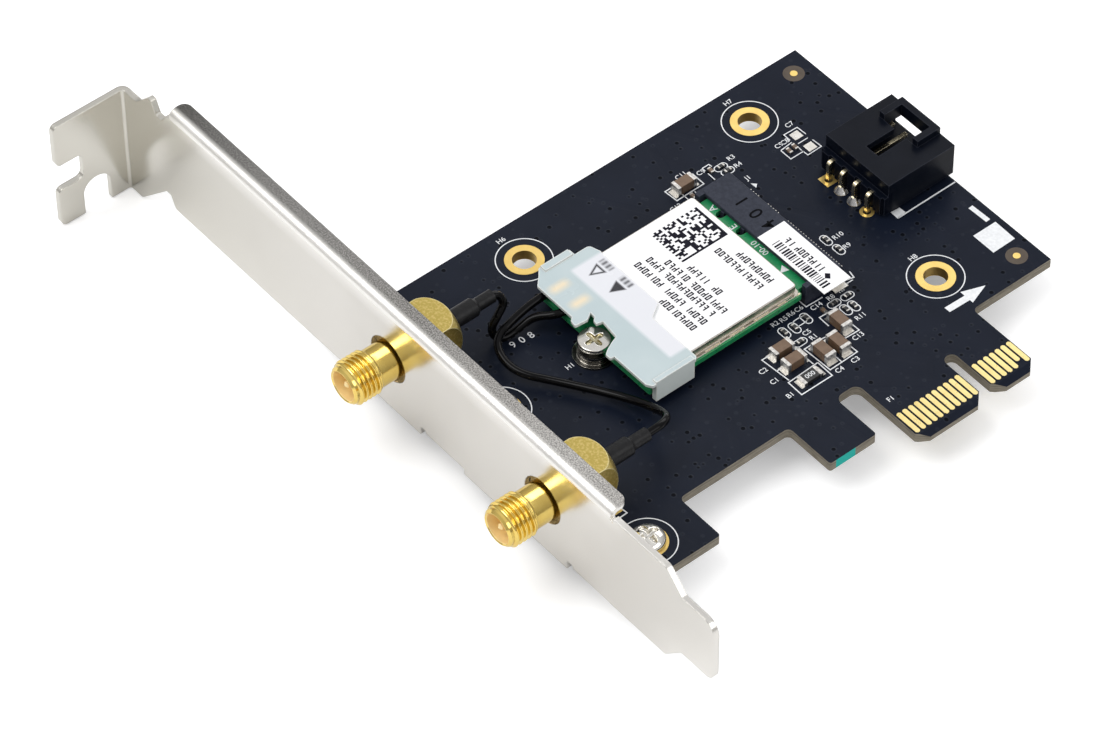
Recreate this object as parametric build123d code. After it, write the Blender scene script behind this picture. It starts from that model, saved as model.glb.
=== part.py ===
from build123d import *
import os
from math import pi, radians, tan

# Wireless network card for a computer's expansion slot, in millimetres, +Z up.
# x = 0 is the contact edge, y = 0 the centre of the key notch, z = 0 the board's top face.

# Carrier board
BOARD_T = 1.52
BOARD_LEFT = -63.06
BOARD_FRONT = -57.8
BOARD_REAR = 21.87
BODY_EDGE = -12.5
LEG_EDGE = -4.55
TONGUE_LOW = -12.1
TONGUE_HIGH = 8.0
TONGUE_CORNER = 1.4
NOTCH_W = 1.94
NOTCH_END = -8.65
SLOT_LOW = -15.85
LEG_END = -23.7
FRONT_LEG = -42.05
BEVEL_LENGTH = 1.0
BEVEL_DEPTH = 0.35
COPPER_T = 0.05

# Edge contacts
CONTACT_PITCH = 1.0
CONTACT_W = 0.7
CONTACT_CORNER = 0.2
CONTACT_IN = -5.4
CONTACT_OUT = -1.3
CONTACT_SHORT = -2.1
FIRST_CONTACT = -11.5
CONTACT_COUNT = 18
CONTACTS_BEFORE_KEY = 11
CONTACTS_LOST_TO_KEY = 2

# Plated holes
RING_R = 2.67
HOLE_R = 1.64
SPARE_HOLES = [(-56.67, -30.91), (-56.77, 8.25), (-19.88, 8.26)]
FOOT_SCREWS = [(-38.4, -49.7), (-9.6, -49.7)]
FIDUCIALS = [(-59.8, 18.75), (-15.8, 18.85)]
FIDUCIAL_R = 0.52

# Bracket sheet
SHEET = 0.86
BEND_IN = 0.44
BEND_OUT = BEND_IN + SHEET
BEND_LAP = 0.5
FACE_OUT = -58.97
FACE_IN = FACE_OUT + SHEET
FOOT_TOP = -BOARD_T - COPPER_T
LOW_EDGE = FOOT_TOP - SHEET
HIGH_EDGE = LOW_EDGE + 18.42
PLAIN_TOP = HIGH_EDGE - SHEET
FLANGE_OUT = -56.02
FLANGE_RIGHT = -6.0
TIP_X = 13.57
TIP_LOW = 1.6
TIP_HIGH = 12.0
NECK_Z = -0.45
NECK_NEAR = 0.9
NECK_FAR = 1.8
HUMP_Z = 15.0
HUMP_NEAR = 3.8
HUMP_FAR = 4.5
DIP_Z = 13.0
DIP_NEAR = 1.6
DIP_FAR = 2.9
TIP_EDGE = -1.5
TIP_NECK = 3.0
TIP_RAMP = 4.6
TAB_IN = -105.58
TAB_OUT = TAB_IN - SHEET
TAB_TO_FLANGE = 10.28
FLANGE_LEFT = TAB_IN + TAB_TO_FLANGE
TAB_LOW = -6.35
TAB_HIGH = 12.1
TAB_RUN_LOW = 2.6
TAB_RUN_HIGH = 3.0
TAB_END = FACE_OUT - 11.43
TAB_SLOT = 4.42
TAB_SCREW_Y = -64.3
TAB_SCREW_TOP = -0.75
TAB_NOTCH_Z = 2.6
TAB_NOTCH_DEPTH = 4.2
FOOT_LEN = 12.0
FEET = [(-42.4, -34.7), (-13.2, -6.2)]
RELIEF_W = 1.1

# Foot screws
SCREW_HEAD_R = 2.25
SCREW_HEAD_H = 1.7
SCREW_HEAD_EDGE = 0.75
SCREW_HEAD_MID = (1.85, 1.35)
SCREW_HEAD_FLAT_R = 1.2
SCREW_SHANK_R = 1.45
SCREW_END = LOW_EDGE - 0.7
CROSS_W = 0.7
CROSS_SPAN = 2.3
CROSS_DEPTH = 0.9
CROSS_TAPER = 14

# Antenna jacks
JACK_X = [-49.8, -19.0]
JACK_Z = 6.5
JACK_HOLE_R = 3.5
JACK_MOUTH = 8.2
THREAD_R = 3.15
THREAD_BACK = 4.1
LIP_R = 2.7
LIP_L = 0.9
LIP_CHAMFER = 0.3
BARREL_R = 2.75
JACK_BORE_R = 2.15
JACK_BORE_CHAMFER = 0.15
INSULATOR_TOP = 4.6
INSULATOR_R = 1.7
JACK_PIN_R = 0.45
JACK_PIN_TIP = 7.8
BLOCK_HALF = 3.42
BLOCK_LEN = 8.7
BLOCK_TURNED_R = 4.75
BLOCK_DOME_START = 4.9
BLOCK_END_R = 3.3
SLEEVE_R = 1.33
SLEEVE_STEP = 4.4
SLEEVE_THIN_R = 0.95
SLEEVE_TAPER = 0.5
SLEEVE_LEN = 7.5

# Pigtails
CABLE_R = 0.565
CABLE_AXIS_Z = 3.1
ARC_SHARE = 0.45

# Radio module
MODULE_X = -38.1
MODULE_HALF = 11.0
MODULE_LOW = 1.5
MODULE_T = 0.8
MODULE_TOP = MODULE_LOW + MODULE_T
TONGUE_END = -4.55
SHOULDER = -8.55
MODULE_END = -34.55
SHOULDER_STEP = 1.075
TONGUE_HALF = MODULE_HALF - SHOULDER_STEP
KEY_OFFSETS = [-6.625, -2.625]
KEY_W = 1.2
KEY_DEPTH = 3.5
SEAT_R = 1.75
FINGER_PITCH = 0.5
FINGER_W = 0.32
FINGER_L = 2.0
FINGER_SET = 0.25
FINGER_HALF_COUNT = 18

# Shield can and its label
CAN_SET_IN = 0.65
CAN_HALF = MODULE_HALF - CAN_SET_IN
CAN_FRONT = -29.7
CAN_REAR = -9.05
CAN_TOP = 3.8
CAN_T = 0.15
CAN_CORNER = 0.5
LID_SKIRT = 0.95
FLANGE_W = 0.4
VENT_L = 2.6
VENT_W = 0.2
VENT_COUNT = 5
LABEL_T = 0.1
LABEL_INSET = 0.15

# Miniature receptacles and plugs
PORT_INSETS = [(1.14, 3.25), (4.99, 2.95)]
PORTS = [(MODULE_X - MODULE_HALF + dx, MODULE_END + dy) for dx, dy in PORT_INSETS]
PORT_BASE = 2.0
PORT_BASE_H = 0.3
PORT_RING_R = 0.75
PORT_RING_BORE = 0.55
PORT_RING_H = 0.8
PORT_POST_R = 0.2
PLUG_R = 1.15
PLUG_TOP = 1.2
COLLAR_R = 0.75
COLLAR_L = 2.3

# Module socket
SOCKET_ARM_LEFT = 1.175
SOCKET_ARM_RIGHT = 1.075
SOCKET_LEFT = MODULE_X - TONGUE_HALF - SOCKET_ARM_LEFT
SOCKET_RIGHT = MODULE_X + TONGUE_HALF + SOCKET_ARM_RIGHT
SOCKET_TOP = 3.2
SOCKET_FRONT = -7.0
SOCKET_REAR = -1.3
SOCKET_REAR_TOP = -2.0
SOCKET_SLOPE = 1.0
GAP = 0.3
ARM_FRONT = -8.0
CONTACT_SHEET = 0.15
SPRING_W = 0.2
TAIL_OUT = 0.1
UNDER_TAIL = -8.3
SOLDER_TAB_L = 1.2
SOLDER_TAB_W = 2.2
SOLDER_TAB_T = 0.2
SOLDER_TAB_H = 1.6
SOCKET_LABEL = (-37.8, -24.7, -7.0, -2.4)

# Standoff and module screw
STANDOFF_FLANGE_R = 2.9
STANDOFF_FLANGE_H = 0.35
STANDOFF_R = 2.3
STANDOFF_GROOVE_R = 2.0
STANDOFF_GROOVE = (0.75, 0.95)
MODULE_SCREW_R = 1.0
MODULE_HEAD_R = 2.2
MODULE_HEAD_H = 0.65
MODULE_SCREW_LEN = 1.9
MODULE_HEAD_CHAMFER = 0.12
MODULE_CROSS_SPAN = 2.0
MODULE_CROSS_W = 0.55
MODULE_CROSS_DEPTH = 0.45

# Clear retainer
COVER_T = 0.45
COVER_LOW = CAN_TOP + LABEL_T
COVER_RIM = 4.6
COVER_BOTTOM = 1.0
COVER_HOOK = 0.2
COVER_GAP_LEFT = 1.0
COVER_GAP_RIGHT = 0.25
COVER_WALL_LEFT = 1.1
COVER_WALL_RIGHT = 0.8
# Opening of the retainer round the module screw: from the screw's axis, with corner radius
COVER_OPENING = [
    (5.0, -0.85, 0),
    (4.9, -1.45, 0.2),
    (4.0, -1.45, 0.2),
    (3.5, -0.75, 0),
    (2.9, 0.45, 0.3),
    (2.5, 1.55, 0.3),
    (-0.6, 1.95, 0),
    (-0.8, 1.05, 0),
    (-1.5, 1.15, 0),
    (-1.9, 1.65, 0),
    (-2.8, 1.75, 0),
    (-2.1, 0.65, 0),
    (-2.3, -1.3, 0.2),
    (-3.3, -1.15, 0.2),
    (-3.8, -0.6, 0.2),
]

# Cable header
HEADER_X = -38.1
HEADER_HALF = 6.2
HEADER_FRONT = 10.6
HEADER_REAR = 22.25
HEADER_LOW = 0.6
HEADER_TOP = 5.8
HEADER_WALL = 1.0
HEADER_BACK = 2.6
SHELF_Z = 3.7
PIN_WALL = 9.95
RIB_FRONT = 9.6
RIB_W = 1.3
LATCH_SLOT_W = 2.4
LATCH_HALF = 3.75
LATCH_OFFSET = -0.4
LATCH_TOP = 6.9
LATCH_FRONT = 18.2
LATCH_WALL = 1.0
PIN_PITCH = 2.54
PIN_COUNT = 4
PIN_W = 0.56
PIN_Y = 9.15
PIN_Z = 3.2
PIN_END = 20.5
PIN_LOW = -2.9
PIN_BEND = 0.66
PIN_HOLE_R = 0.55
PAD_R = 1.0
CONE_H = 0.9

# Chip parts: centre, length along x or y, length, width, height
CAPACITORS = [
    (-20.2, -16.1, "y", 3.2, 1.6, 1.5),
    (-22.8, -15.9, "y", 3.2, 1.6, 1.3),
    (-18.85, -9.65, "x", 3.2, 1.6, 1.5),
    (-19.0, -12.1, "x", 3.2, 1.6, 1.5),
    (-21.6, -7.0, "x", 3.2, 1.6, 1.5),
    (-53.1, -6.5, "y", 3.2, 1.6, 1.5),
]
RESISTOR = (-17.15, -16.0, "y", 3.2, 1.6, 0.6)
END_CAP = 0.5
END_STEP = 0.03

# Small chip parts: centre, length along x or y
SMALL_LENGTH = 1.0
SMALL_WIDTH = 0.5
SMALL_HEIGHT = 0.35
SMALL_CAP = 0.22
SMALL_RESISTORS = [
    (-52.85, -0.25, "y"),
    (-51.73, 0.0, "y"),
    (-33.9, 1.6, "x"),
    (-31.6, 1.8, "x"),
    (-24.7, -2.85, "y"),
    (-24.8, -5.05, "y"),
    (-22.85, -3.35, "x"),
    (-23.0, -4.6, "x"),
    (-25.2, -9.55, "x"),
    (-24.9, -11.8, "x"),
    (-25.1, -13.4, "x"),
    (-22.55, -12.9, "y"),
]
SMALL_CAPACITORS = [
    (-53.15, -1.75, "x"),
    (-49.25, 9.65, "x"),
    (-49.15, 8.6, "x"),
    (-24.7, -7.0, "x"),
    (-51.1, -6.6, "x"),
]

# Bare lands: limits in x and y
SPARE_LANDS = [(-51.5, -50.15, 10.6, 12.0), (-48.75, -47.4, 10.65, 12.05)]
GROUND_LAND = (-16.2, -15.5, -50.6, -48.8)


def plate(corners, low=0.0, high=0.0):
    """Flat face, or slab from low to high, with the corners (x, y, corner radius)."""
    face = Sketch() + make_face(Polyline(*[(x, y) for x, y, _ in corners], close=True))
    for x, y, r in corners:
        if r:
            face = fillet(face.vertices().sort_by_distance((x, y, 0))[:1], r)
    if high > low:
        return Pos(0, 0, low) * extrude(face, amount=high - low)
    return face


def block(x0, x1, y0, y1, z0, z1):
    """Box between its limits."""
    return Pos((x0 + x1) / 2, (y0 + y1) / 2, (z0 + z1) / 2) * Box(x1 - x0, y1 - y0, z1 - z0)


def turned(points):
    """Solid of revolution about Z from (radius, height) points."""
    return revolve(Plane.XZ * make_face(Polyline(*points, close=True)), Axis.Z)


def rod(r, x, y, z0, z1):
    """Upright cylinder from z0 to z1."""
    return Pos(x, y, (z0 + z1) / 2) * Cylinder(r, z1 - z0)


def across_x(corners, x0, x1):
    """Profile of (y, z, corner radius) drawn out from x0 to x1."""
    return Pos(x0, 0, 0) * extrude(Plane.YZ * plate(corners), amount=x1 - x0)


def across_y(corners, y0, y1):
    """Profile of (x, z, corner radius) drawn out from y0 to y1."""
    return Pos(0, y1, 0) * extrude(Plane.XZ * plate(corners), amount=y1 - y0)


def cross_recess(span, width, top, depth):
    """Tapered cross-shaped driver recess cut down from top."""
    cross = Rectangle(span, width) + Rectangle(width, span)
    return Pos(0, 0, top) * extrude(cross, amount=-depth, taper=CROSS_TAPER)


# Carrier board


def make_board():
    notch = NOTCH_W / 2
    chamfer_in = notch + 1.5
    side_low = TONGUE_LOW + TONGUE_CORNER
    side_high = TONGUE_HIGH - TONGUE_CORNER
    body = plate(
        [
            (BOARD_LEFT, BOARD_REAR, 0),
            (BOARD_LEFT, BOARD_FRONT, 0),
            (LEG_EDGE, BOARD_FRONT, 0.4),
            (LEG_EDGE, FRONT_LEG, 0.4),
            (BODY_EDGE, FRONT_LEG, 0.8),
            (BODY_EDGE, LEG_END, 0.8),
            (LEG_EDGE, LEG_END, 0.4),
            (LEG_EDGE, SLOT_LOW, 0.4),
            (BODY_EDGE, SLOT_LOW, 1.2),
            (BODY_EDGE, TONGUE_LOW, 1.2),
            (-TONGUE_CORNER, TONGUE_LOW, 0),
            (0, side_low, 0),
            (0, -chamfer_in, 0),
            (-1.5, -notch, 0),
            (NOTCH_END, -notch, notch * 0.98),
            (NOTCH_END, notch, notch * 0.98),
            (-1.5, notch, 0),
            (0, chamfer_in, 0),
            (0, side_high, 0),
            (-TONGUE_CORNER, TONGUE_HIGH, 0),
            (BODY_EDGE, TONGUE_HIGH, 0.8),
            (BODY_EDGE, BOARD_REAR, 0),
        ],
        -BOARD_T,
        0,
    )
    for edge, step in ((0, -BEVEL_DEPTH), (-BOARD_T, BEVEL_DEPTH)):
        wedge = [(-BEVEL_LENGTH, edge, 0), (0, edge, 0), (0, edge + step, 0)]
        body -= across_y(wedge, TONGUE_LOW, TONGUE_HIGH)
    for x, y in SPARE_HOLES + FOOT_SCREWS:
        body -= rod(HOLE_R, x, y, -BOARD_T, 0)
    for x in header_pin_places():
        body -= rod(PIN_HOLE_R, x, PIN_Y, -BOARD_T, 0)
    return body


def contact_places():
    """Contact number and y, skipping the positions that the key notch takes."""
    places = []
    for number in range(1, CONTACT_COUNT + 1):
        lost = CONTACTS_LOST_TO_KEY if number > CONTACTS_BEFORE_KEY else 0
        places.append((number, FIRST_CONTACT + (number - 1 + lost) * CONTACT_PITCH))
    return places


def make_edge_contacts(low, short_number):
    pads = []
    for number, y in contact_places():
        out = CONTACT_SHORT if number == short_number else CONTACT_OUT
        pad = Rectangle(out - CONTACT_IN, CONTACT_W)
        pad = chamfer(pad.vertices(), CONTACT_CORNER)
        pads.append(Pos((CONTACT_IN + out) / 2, y, low) * extrude(pad, amount=COPPER_T))
    return Compound(pads)


def make_ring(x, y):
    """Copper land round a hole on each face of the board."""
    lands = []
    for low in (-BOARD_T - COPPER_T, 0):
        high = low + COPPER_T
        lands.append(rod(RING_R, x, y, low, high) - rod(HOLE_R, x, y, low, high))
    return Compound(lands)


def make_fiducials():
    return Compound([rod(FIDUCIAL_R, x, y, 0, COPPER_T) for x, y in FIDUCIALS])


# Bracket


def make_bracket():
    """One sheet: face, top flange, screw tab, tapered tip and two feet, all with bend radii."""
    bend_top = HIGH_EDGE - BEND_OUT
    bend_low = LOW_EDGE + BEND_OUT
    (a0, a1), (b0, b1) = FEET
    face = across_y(
        [
            (TAB_IN + BEND_IN, TAB_LOW, 0),
            (TAB_IN + TAB_RUN_LOW, TAB_LOW, 1.0),
            (FLANGE_LEFT - NECK_FAR, NECK_Z, 0.3),
            (FLANGE_LEFT - NECK_NEAR, NECK_Z, 0.3),
            (FLANGE_LEFT, LOW_EDGE, 0.6),
            (a0 - RELIEF_W, LOW_EDGE, 0),
            (a0 - RELIEF_W, bend_low + 0.2, 0.4),
            (a0, bend_low + 0.2, 0.1),
            (a0, bend_low, 0),
            (a1, bend_low, 0),
            (a1, LOW_EDGE, 0),
            (b0 - RELIEF_W, LOW_EDGE, 0),
            (b0 - RELIEF_W, bend_low + 0.2, 0.4),
            (b0, bend_low + 0.2, 0.1),
            (b0, bend_low, 0),
            (b1, bend_low, 0),
            (b1, TIP_EDGE, 0),
            (TIP_RAMP, TIP_EDGE, 0.5),
            (TIP_RAMP + TIP_NECK, TIP_LOW, 0.8),
            (TIP_X, TIP_LOW, 1.3),
            (TIP_X, TIP_HIGH, 2.2),
            (TIP_RAMP + TIP_NECK, TIP_HIGH, 0.7),
            (TIP_RAMP, PLAIN_TOP, 1.0),
            (FLANGE_RIGHT + 0.5, PLAIN_TOP, 0.3),
            (FLANGE_RIGHT + 0.5, bend_top - 0.3, 0.2),
            (FLANGE_RIGHT, bend_top - 0.3, 0.2),
            (FLANGE_RIGHT, bend_top, 0),
            (FLANGE_LEFT - 0.6, bend_top, 0.2),
            (FLANGE_LEFT - DIP_NEAR, DIP_Z, 0.4),
            (FLANGE_LEFT - DIP_FAR, DIP_Z, 0.4),
            (FLANGE_LEFT - HUMP_NEAR, HUMP_Z, 0.3),
            (FLANGE_LEFT - HUMP_FAR, HUMP_Z, 0.3),
            (TAB_IN + TAB_RUN_HIGH, TAB_HIGH, 1.0),
            (TAB_IN + BEND_IN, TAB_HIGH, 0),
        ],
        FACE_OUT,
        FACE_IN,
    )
    flange = across_x(
        [
            (FACE_OUT, bend_top - BEND_LAP, 0),
            (FACE_OUT, HIGH_EDGE, BEND_OUT),
            (FLANGE_OUT, HIGH_EDGE, 0),
            (FLANGE_OUT, PLAIN_TOP, 0),
            (FACE_IN, PLAIN_TOP, BEND_IN),
            (FACE_IN, bend_top - BEND_LAP, 0),
        ],
        FLANGE_LEFT,
        FLANGE_RIGHT,
    )
    ends = flange.edges().filter_by(Axis.Z).group_by(Axis.Y)[-1]
    flange = fillet(ends, 1.2)
    sheet = face + flange + make_tab()
    for left, right in FEET:
        sheet += make_foot(left, right, bend_low)
    for x in JACK_X:
        hole = Rot(90, 0, 0) * Cylinder(JACK_HOLE_R, 3 * SHEET)
        sheet -= Pos(x, FACE_OUT, JACK_Z) * hole
    for x, y in FOOT_SCREWS:
        sheet -= rod(SCREW_SHANK_R, x, y, LOW_EDGE, FOOT_TOP)
    return sheet


def make_foot(left, right, bend_low):
    """Foot bent under the board, with its far corners rounded."""
    end = FACE_OUT + FOOT_LEN
    foot = across_x(
        [
            (FACE_IN, bend_low + BEND_LAP, 0),
            (FACE_IN, FOOT_TOP, BEND_IN),
            (end, FOOT_TOP, 0),
            (end, LOW_EDGE, 0),
            (FACE_OUT, LOW_EDGE, BEND_OUT),
            (FACE_OUT, bend_low + BEND_LAP, 0),
        ],
        left,
        right,
    )
    return fillet(foot.edges().filter_by(Axis.Z).group_by(Axis.Y)[-1], 1.5)


def make_tab():
    """Tab bent off the face, with the screw's U notch and the guide notch in its far edge."""
    corner = plate(
        [
            (TAB_IN, TAB_END, 0),
            (TAB_IN, FACE_OUT, BEND_IN),
            (TAB_IN + BEND_IN + BEND_LAP, FACE_OUT, 0),
            (TAB_IN + BEND_IN + BEND_LAP, FACE_IN, 0),
            (TAB_OUT, FACE_IN, BEND_OUT),
            (TAB_OUT, TAB_END, 0),
        ],
        TAB_LOW,
        TAB_HIGH,
    )
    half = TAB_SLOT / 2
    screw_notch = [
        (TAB_SCREW_Y - half, TAB_LOW, 0),
        (TAB_SCREW_Y - half, TAB_SCREW_TOP, half * 0.98),
        (TAB_SCREW_Y + half, TAB_SCREW_TOP, half * 0.98),
        (TAB_SCREW_Y + half, TAB_LOW, 0),
    ]
    deep = TAB_END + TAB_NOTCH_DEPTH
    guide_notch = [
        (TAB_END, TAB_NOTCH_Z - half, 0),
        (deep, TAB_NOTCH_Z - half, 1.0),
        (deep, TAB_NOTCH_Z + half, 1.0),
        (TAB_END, TAB_NOTCH_Z + half, 0),
    ]
    tab = corner - across_x(screw_notch, TAB_OUT, TAB_IN)
    tab -= across_x(guide_notch, TAB_OUT, TAB_IN)
    outer = tab.edges().filter_by(Axis.X).group_by(Axis.Y)[0]
    return fillet(outer, 0.9)


def make_foot_screw(x, y):
    """Domed screw: its head on the board's copper land, its shank in the foot."""
    middle_r, middle_h = SCREW_HEAD_MID
    head = turned(
        [
            (0, 0),
            (SCREW_HEAD_R, 0),
            (SCREW_HEAD_R, SCREW_HEAD_EDGE),
            (middle_r, middle_h),
            (SCREW_HEAD_FLAT_R, SCREW_HEAD_H),
            (0, SCREW_HEAD_H),
        ]
    )
    head -= cross_recess(CROSS_SPAN, CROSS_W, SCREW_HEAD_H, CROSS_DEPTH)
    shank = rod(SCREW_SHANK_R, 0, 0, SCREW_END - COPPER_T, 0)
    return Pos(x, y, COPPER_T) * (head + shank)


# Antenna jacks, drawn with Z out of the mouth and z = 0 on the bracket's inner face


def on_bracket(x):
    return Pos(x, FACE_IN, JACK_Z) * Rot(90, 0, 0)


def make_jack_shell():
    thread_front = JACK_MOUTH - LIP_L
    thread_back = JACK_MOUTH - THREAD_BACK
    barrel = turned(
        [
            (0, 0),
            (BARREL_R, 0),
            (BARREL_R, thread_back - 0.4),
            (THREAD_R, thread_back),
            (THREAD_R, thread_front),
            (LIP_R, thread_front + 0.2),
            (LIP_R, JACK_MOUTH - LIP_CHAMFER),
            (LIP_R - LIP_CHAMFER, JACK_MOUTH),
            (0, JACK_MOUTH),
        ]
    )
    dome = (BLOCK_TURNED_R - BLOCK_END_R) * 0.35
    outline = [
        Line((0, 0), (BLOCK_TURNED_R, 0)),
        Line((BLOCK_TURNED_R, 0), (BLOCK_TURNED_R, -BLOCK_DOME_START)),
        ThreePointArc(
            (BLOCK_TURNED_R, -BLOCK_DOME_START),
            ((BLOCK_TURNED_R + BLOCK_END_R) / 2 + dome, -(BLOCK_DOME_START + BLOCK_LEN) / 2 - dome),
            (BLOCK_END_R, -BLOCK_LEN),
        ),
        Line((BLOCK_END_R, -BLOCK_LEN), (0, -BLOCK_LEN)),
        Line((0, -BLOCK_LEN), (0, 0)),
    ]
    lathe = revolve(Plane.XZ * make_face(outline), Axis.Z)
    square = block(-BLOCK_HALF, BLOCK_HALF, -BLOCK_HALF, BLOCK_HALF, -BLOCK_LEN, 0)
    shell = barrel + (square & lathe)
    bore = turned(
        [
            (0, INSULATOR_TOP),
            (JACK_BORE_R, INSULATOR_TOP),
            (JACK_BORE_R, JACK_MOUTH - JACK_BORE_CHAMFER),
            (JACK_BORE_R + JACK_BORE_CHAMFER, JACK_MOUTH),
            (0, JACK_MOUTH),
        ]
    )
    shell -= bore
    shell -= rod(INSULATOR_R, 0, 0, 0, INSULATOR_TOP)
    return shell - rod(CABLE_R, 0, 0, -BLOCK_LEN, 0)


def make_insulator():
    return rod(INSULATOR_R, 0, 0, 0, INSULATOR_TOP) - rod(JACK_PIN_R, 0, 0, 0, INSULATOR_TOP)


def make_jack_pin():
    tip = JACK_PIN_R * 0.5
    return turned(
        [
            (0, 0),
            (JACK_PIN_R, 0),
            (JACK_PIN_R, JACK_PIN_TIP - tip),
            (tip, JACK_PIN_TIP),
            (0, JACK_PIN_TIP),
        ]
    )


def make_sleeve():
    """Shrunk sleeve in two steps, tight on the cable."""
    start = -BLOCK_LEN
    step = start - SLEEVE_STEP
    end = start - SLEEVE_LEN
    return turned(
        [
            (CABLE_R, start),
            (SLEEVE_R, start),
            (SLEEVE_R, step),
            (SLEEVE_THIN_R, step - SLEEVE_TAPER),
            (SLEEVE_THIN_R, end),
            (CABLE_R, end),
        ]
    )


# Pigtails


def cable_route(points):
    """Straight runs joined by tangent arcs, each as wide as its shorter run allows."""
    spots = [Vector(*p) for p in points]
    radii = []
    for before, corner, after in zip(spots, spots[1:], spots[2:]):
        turn = radians((corner - before).get_angle(after - corner))
        shorter = min((corner - before).length, (after - corner).length)
        radii.append(ARC_SHARE * shorter / tan(turn / 2))
    return FilletPolyline(*spots, radius=radii), radii


def make_cable(points):
    route, radii = cable_route(points)
    start = Plane(origin=route @ 0, z_dir=route % 0)
    cable = sweep(start * Circle(CABLE_R), path=route)
    section = pi * CABLE_R**2
    print("cable length", round(route.length, 2), "radii", [round(r, 2) for r in radii])
    print("volume over section times length", round(cable.volume / (section * route.length), 4))
    return cable


def cable_points():
    """Chosen route of each pigtail, from the insulator's rear to the plug's collar."""
    ends = [(x, y - COLLAR_L, CABLE_AXIS_Z) for x, y in PORTS]
    first = [
        (JACK_X[0], FACE_IN, JACK_Z),
        (JACK_X[0], -41.1, JACK_Z),
        (-48.9, -40.5, 5.1),
        (-48.6, -42.0, 3.7),
        (-48.5, -43.2, 2.4),
        (-48.0, -43.1, 1.05),
        (-47.2, -42.1, 0.62),
        (-47.0, -40.0, 1.1),
        (-46.6, -37.6, 2.3),
        (ends[1][0], -35.6, CABLE_AXIS_Z),
        ends[1],
    ]
    second = [
        (JACK_X[1], FACE_IN, JACK_Z),
        (JACK_X[1], -38.2, JACK_Z),
        (-22.6, -36.4, 3.8),
        (-28.7, -37.2, 1.7),
        (-36.4, -41.7, 1.2),
        (-41.4, -45.6, 1.6),
        (-46.5, -44.6, 2.5),
        (-47.6, -39.6, 2.9),
        (ends[0][0], -36.2, CABLE_AXIS_Z),
        ends[0],
    ]
    return [first, second]


# Radio module


def make_module_board():
    left = MODULE_X - MODULE_HALF
    right = MODULE_X + MODULE_HALF
    tongue_left = MODULE_X - TONGUE_HALF
    tongue_right = MODULE_X + TONGUE_HALF
    board = plate(
        [
            (left, MODULE_END, 0.3),
            (right, MODULE_END, 0.3),
            (right, SHOULDER, 0.4),
            (tongue_right, SHOULDER, 0.3),
            (tongue_right, TONGUE_END, 0.3),
            (tongue_left, TONGUE_END, 0.3),
            (tongue_left, SHOULDER, 0.3),
            (left, SHOULDER, 0.4),
        ],
        MODULE_LOW,
        MODULE_TOP,
    )
    for offset in KEY_OFFSETS:
        x = MODULE_X + offset
        key_end = TONGUE_END - KEY_DEPTH
        board -= block(x - KEY_W / 2, x + KEY_W / 2, key_end + KEY_W / 2, TONGUE_END, MODULE_LOW, MODULE_TOP)
        board -= rod(KEY_W / 2, x, key_end + KEY_W / 2, MODULE_LOW, MODULE_TOP)
    return board - rod(SEAT_R, MODULE_X, MODULE_END, MODULE_LOW, MODULE_TOP)


def finger_places(shift):
    """Contact places across the module's tongue, clear of the key notches."""
    places = []
    for step in range(-FINGER_HALF_COUNT, FINGER_HALF_COUNT + 1):
        offset = step * FINGER_PITCH + shift
        clear = all(abs(offset - key) > KEY_W / 2 + FINGER_PITCH / 2 for key in KEY_OFFSETS)
        if clear:
            places.append(MODULE_X + offset)
    return places


def make_module_fingers():
    fingers = []
    end = TONGUE_END - FINGER_SET
    for low, shift in ((MODULE_TOP, 0), (MODULE_LOW - COPPER_T, FINGER_PITCH / 2)):
        for x in finger_places(shift):
            half = FINGER_W / 2
            fingers.append(block(x - half, x + half, end - FINGER_L, end, low, low + COPPER_T))
    return Compound(fingers)


def can_outline(inset):
    """Rounded rectangle of the can, drawn in by inset."""
    x0 = MODULE_X - CAN_HALF + inset
    x1 = MODULE_X + CAN_HALF - inset
    y0 = CAN_FRONT + inset
    y1 = CAN_REAR - inset
    r = max(CAN_CORNER - inset, 0.1)
    return [(x0, y0, r), (x1, y0, r), (x1, y1, r), (x0, y1, r)]


def make_can_lid():
    """Pressed lid: roof and a skirt over the fence."""
    lid = plate(can_outline(0), CAN_TOP - LID_SKIRT, CAN_TOP)
    return lid - plate(can_outline(CAN_T), CAN_TOP - LID_SKIRT, CAN_TOP - CAN_T)


def make_can_fence():
    """Soldered frame under the lid, with a vented foot flange."""
    wall = plate(can_outline(CAN_T), MODULE_TOP, CAN_TOP - CAN_T)
    foot = plate(can_outline(-FLANGE_W), MODULE_TOP, MODULE_TOP + CAN_T)
    fence = wall + foot - plate(can_outline(2 * CAN_T), MODULE_TOP, CAN_TOP - CAN_T)
    middle = (CAN_FRONT + CAN_REAR) / 2
    pitch = (CAN_REAR - CAN_FRONT) / VENT_COUNT
    for side in (-1, 1):
        x = MODULE_X + side * (CAN_HALF + FLANGE_W / 2)
        for index in range(VENT_COUNT):
            y = middle + (index - (VENT_COUNT - 1) / 2) * pitch
            y0 = y - VENT_L / 2
            fence -= block(x - VENT_W / 2, x + VENT_W / 2, y0, y0 + VENT_L, MODULE_TOP, MODULE_TOP + CAN_T)
    return fence


def make_module_label():
    return plate(can_outline(LABEL_INSET), CAN_TOP, CAN_TOP + LABEL_T)


def make_receptacle(x, y):
    """Base, outer ring and centre post of one miniature receptacle."""
    low = MODULE_TOP
    half = PORT_BASE / 2
    base = block(-half, half, -half, half, low, low + PORT_BASE_H)
    ring = rod(PORT_RING_R, 0, 0, low, low + PORT_RING_H) - rod(PORT_RING_BORE, 0, 0, low, low + PORT_RING_H)
    post = rod(PORT_POST_R, 0, 0, low, low + PORT_RING_H)
    return Pos(x, y, 0) * (base + ring + post)


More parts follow.
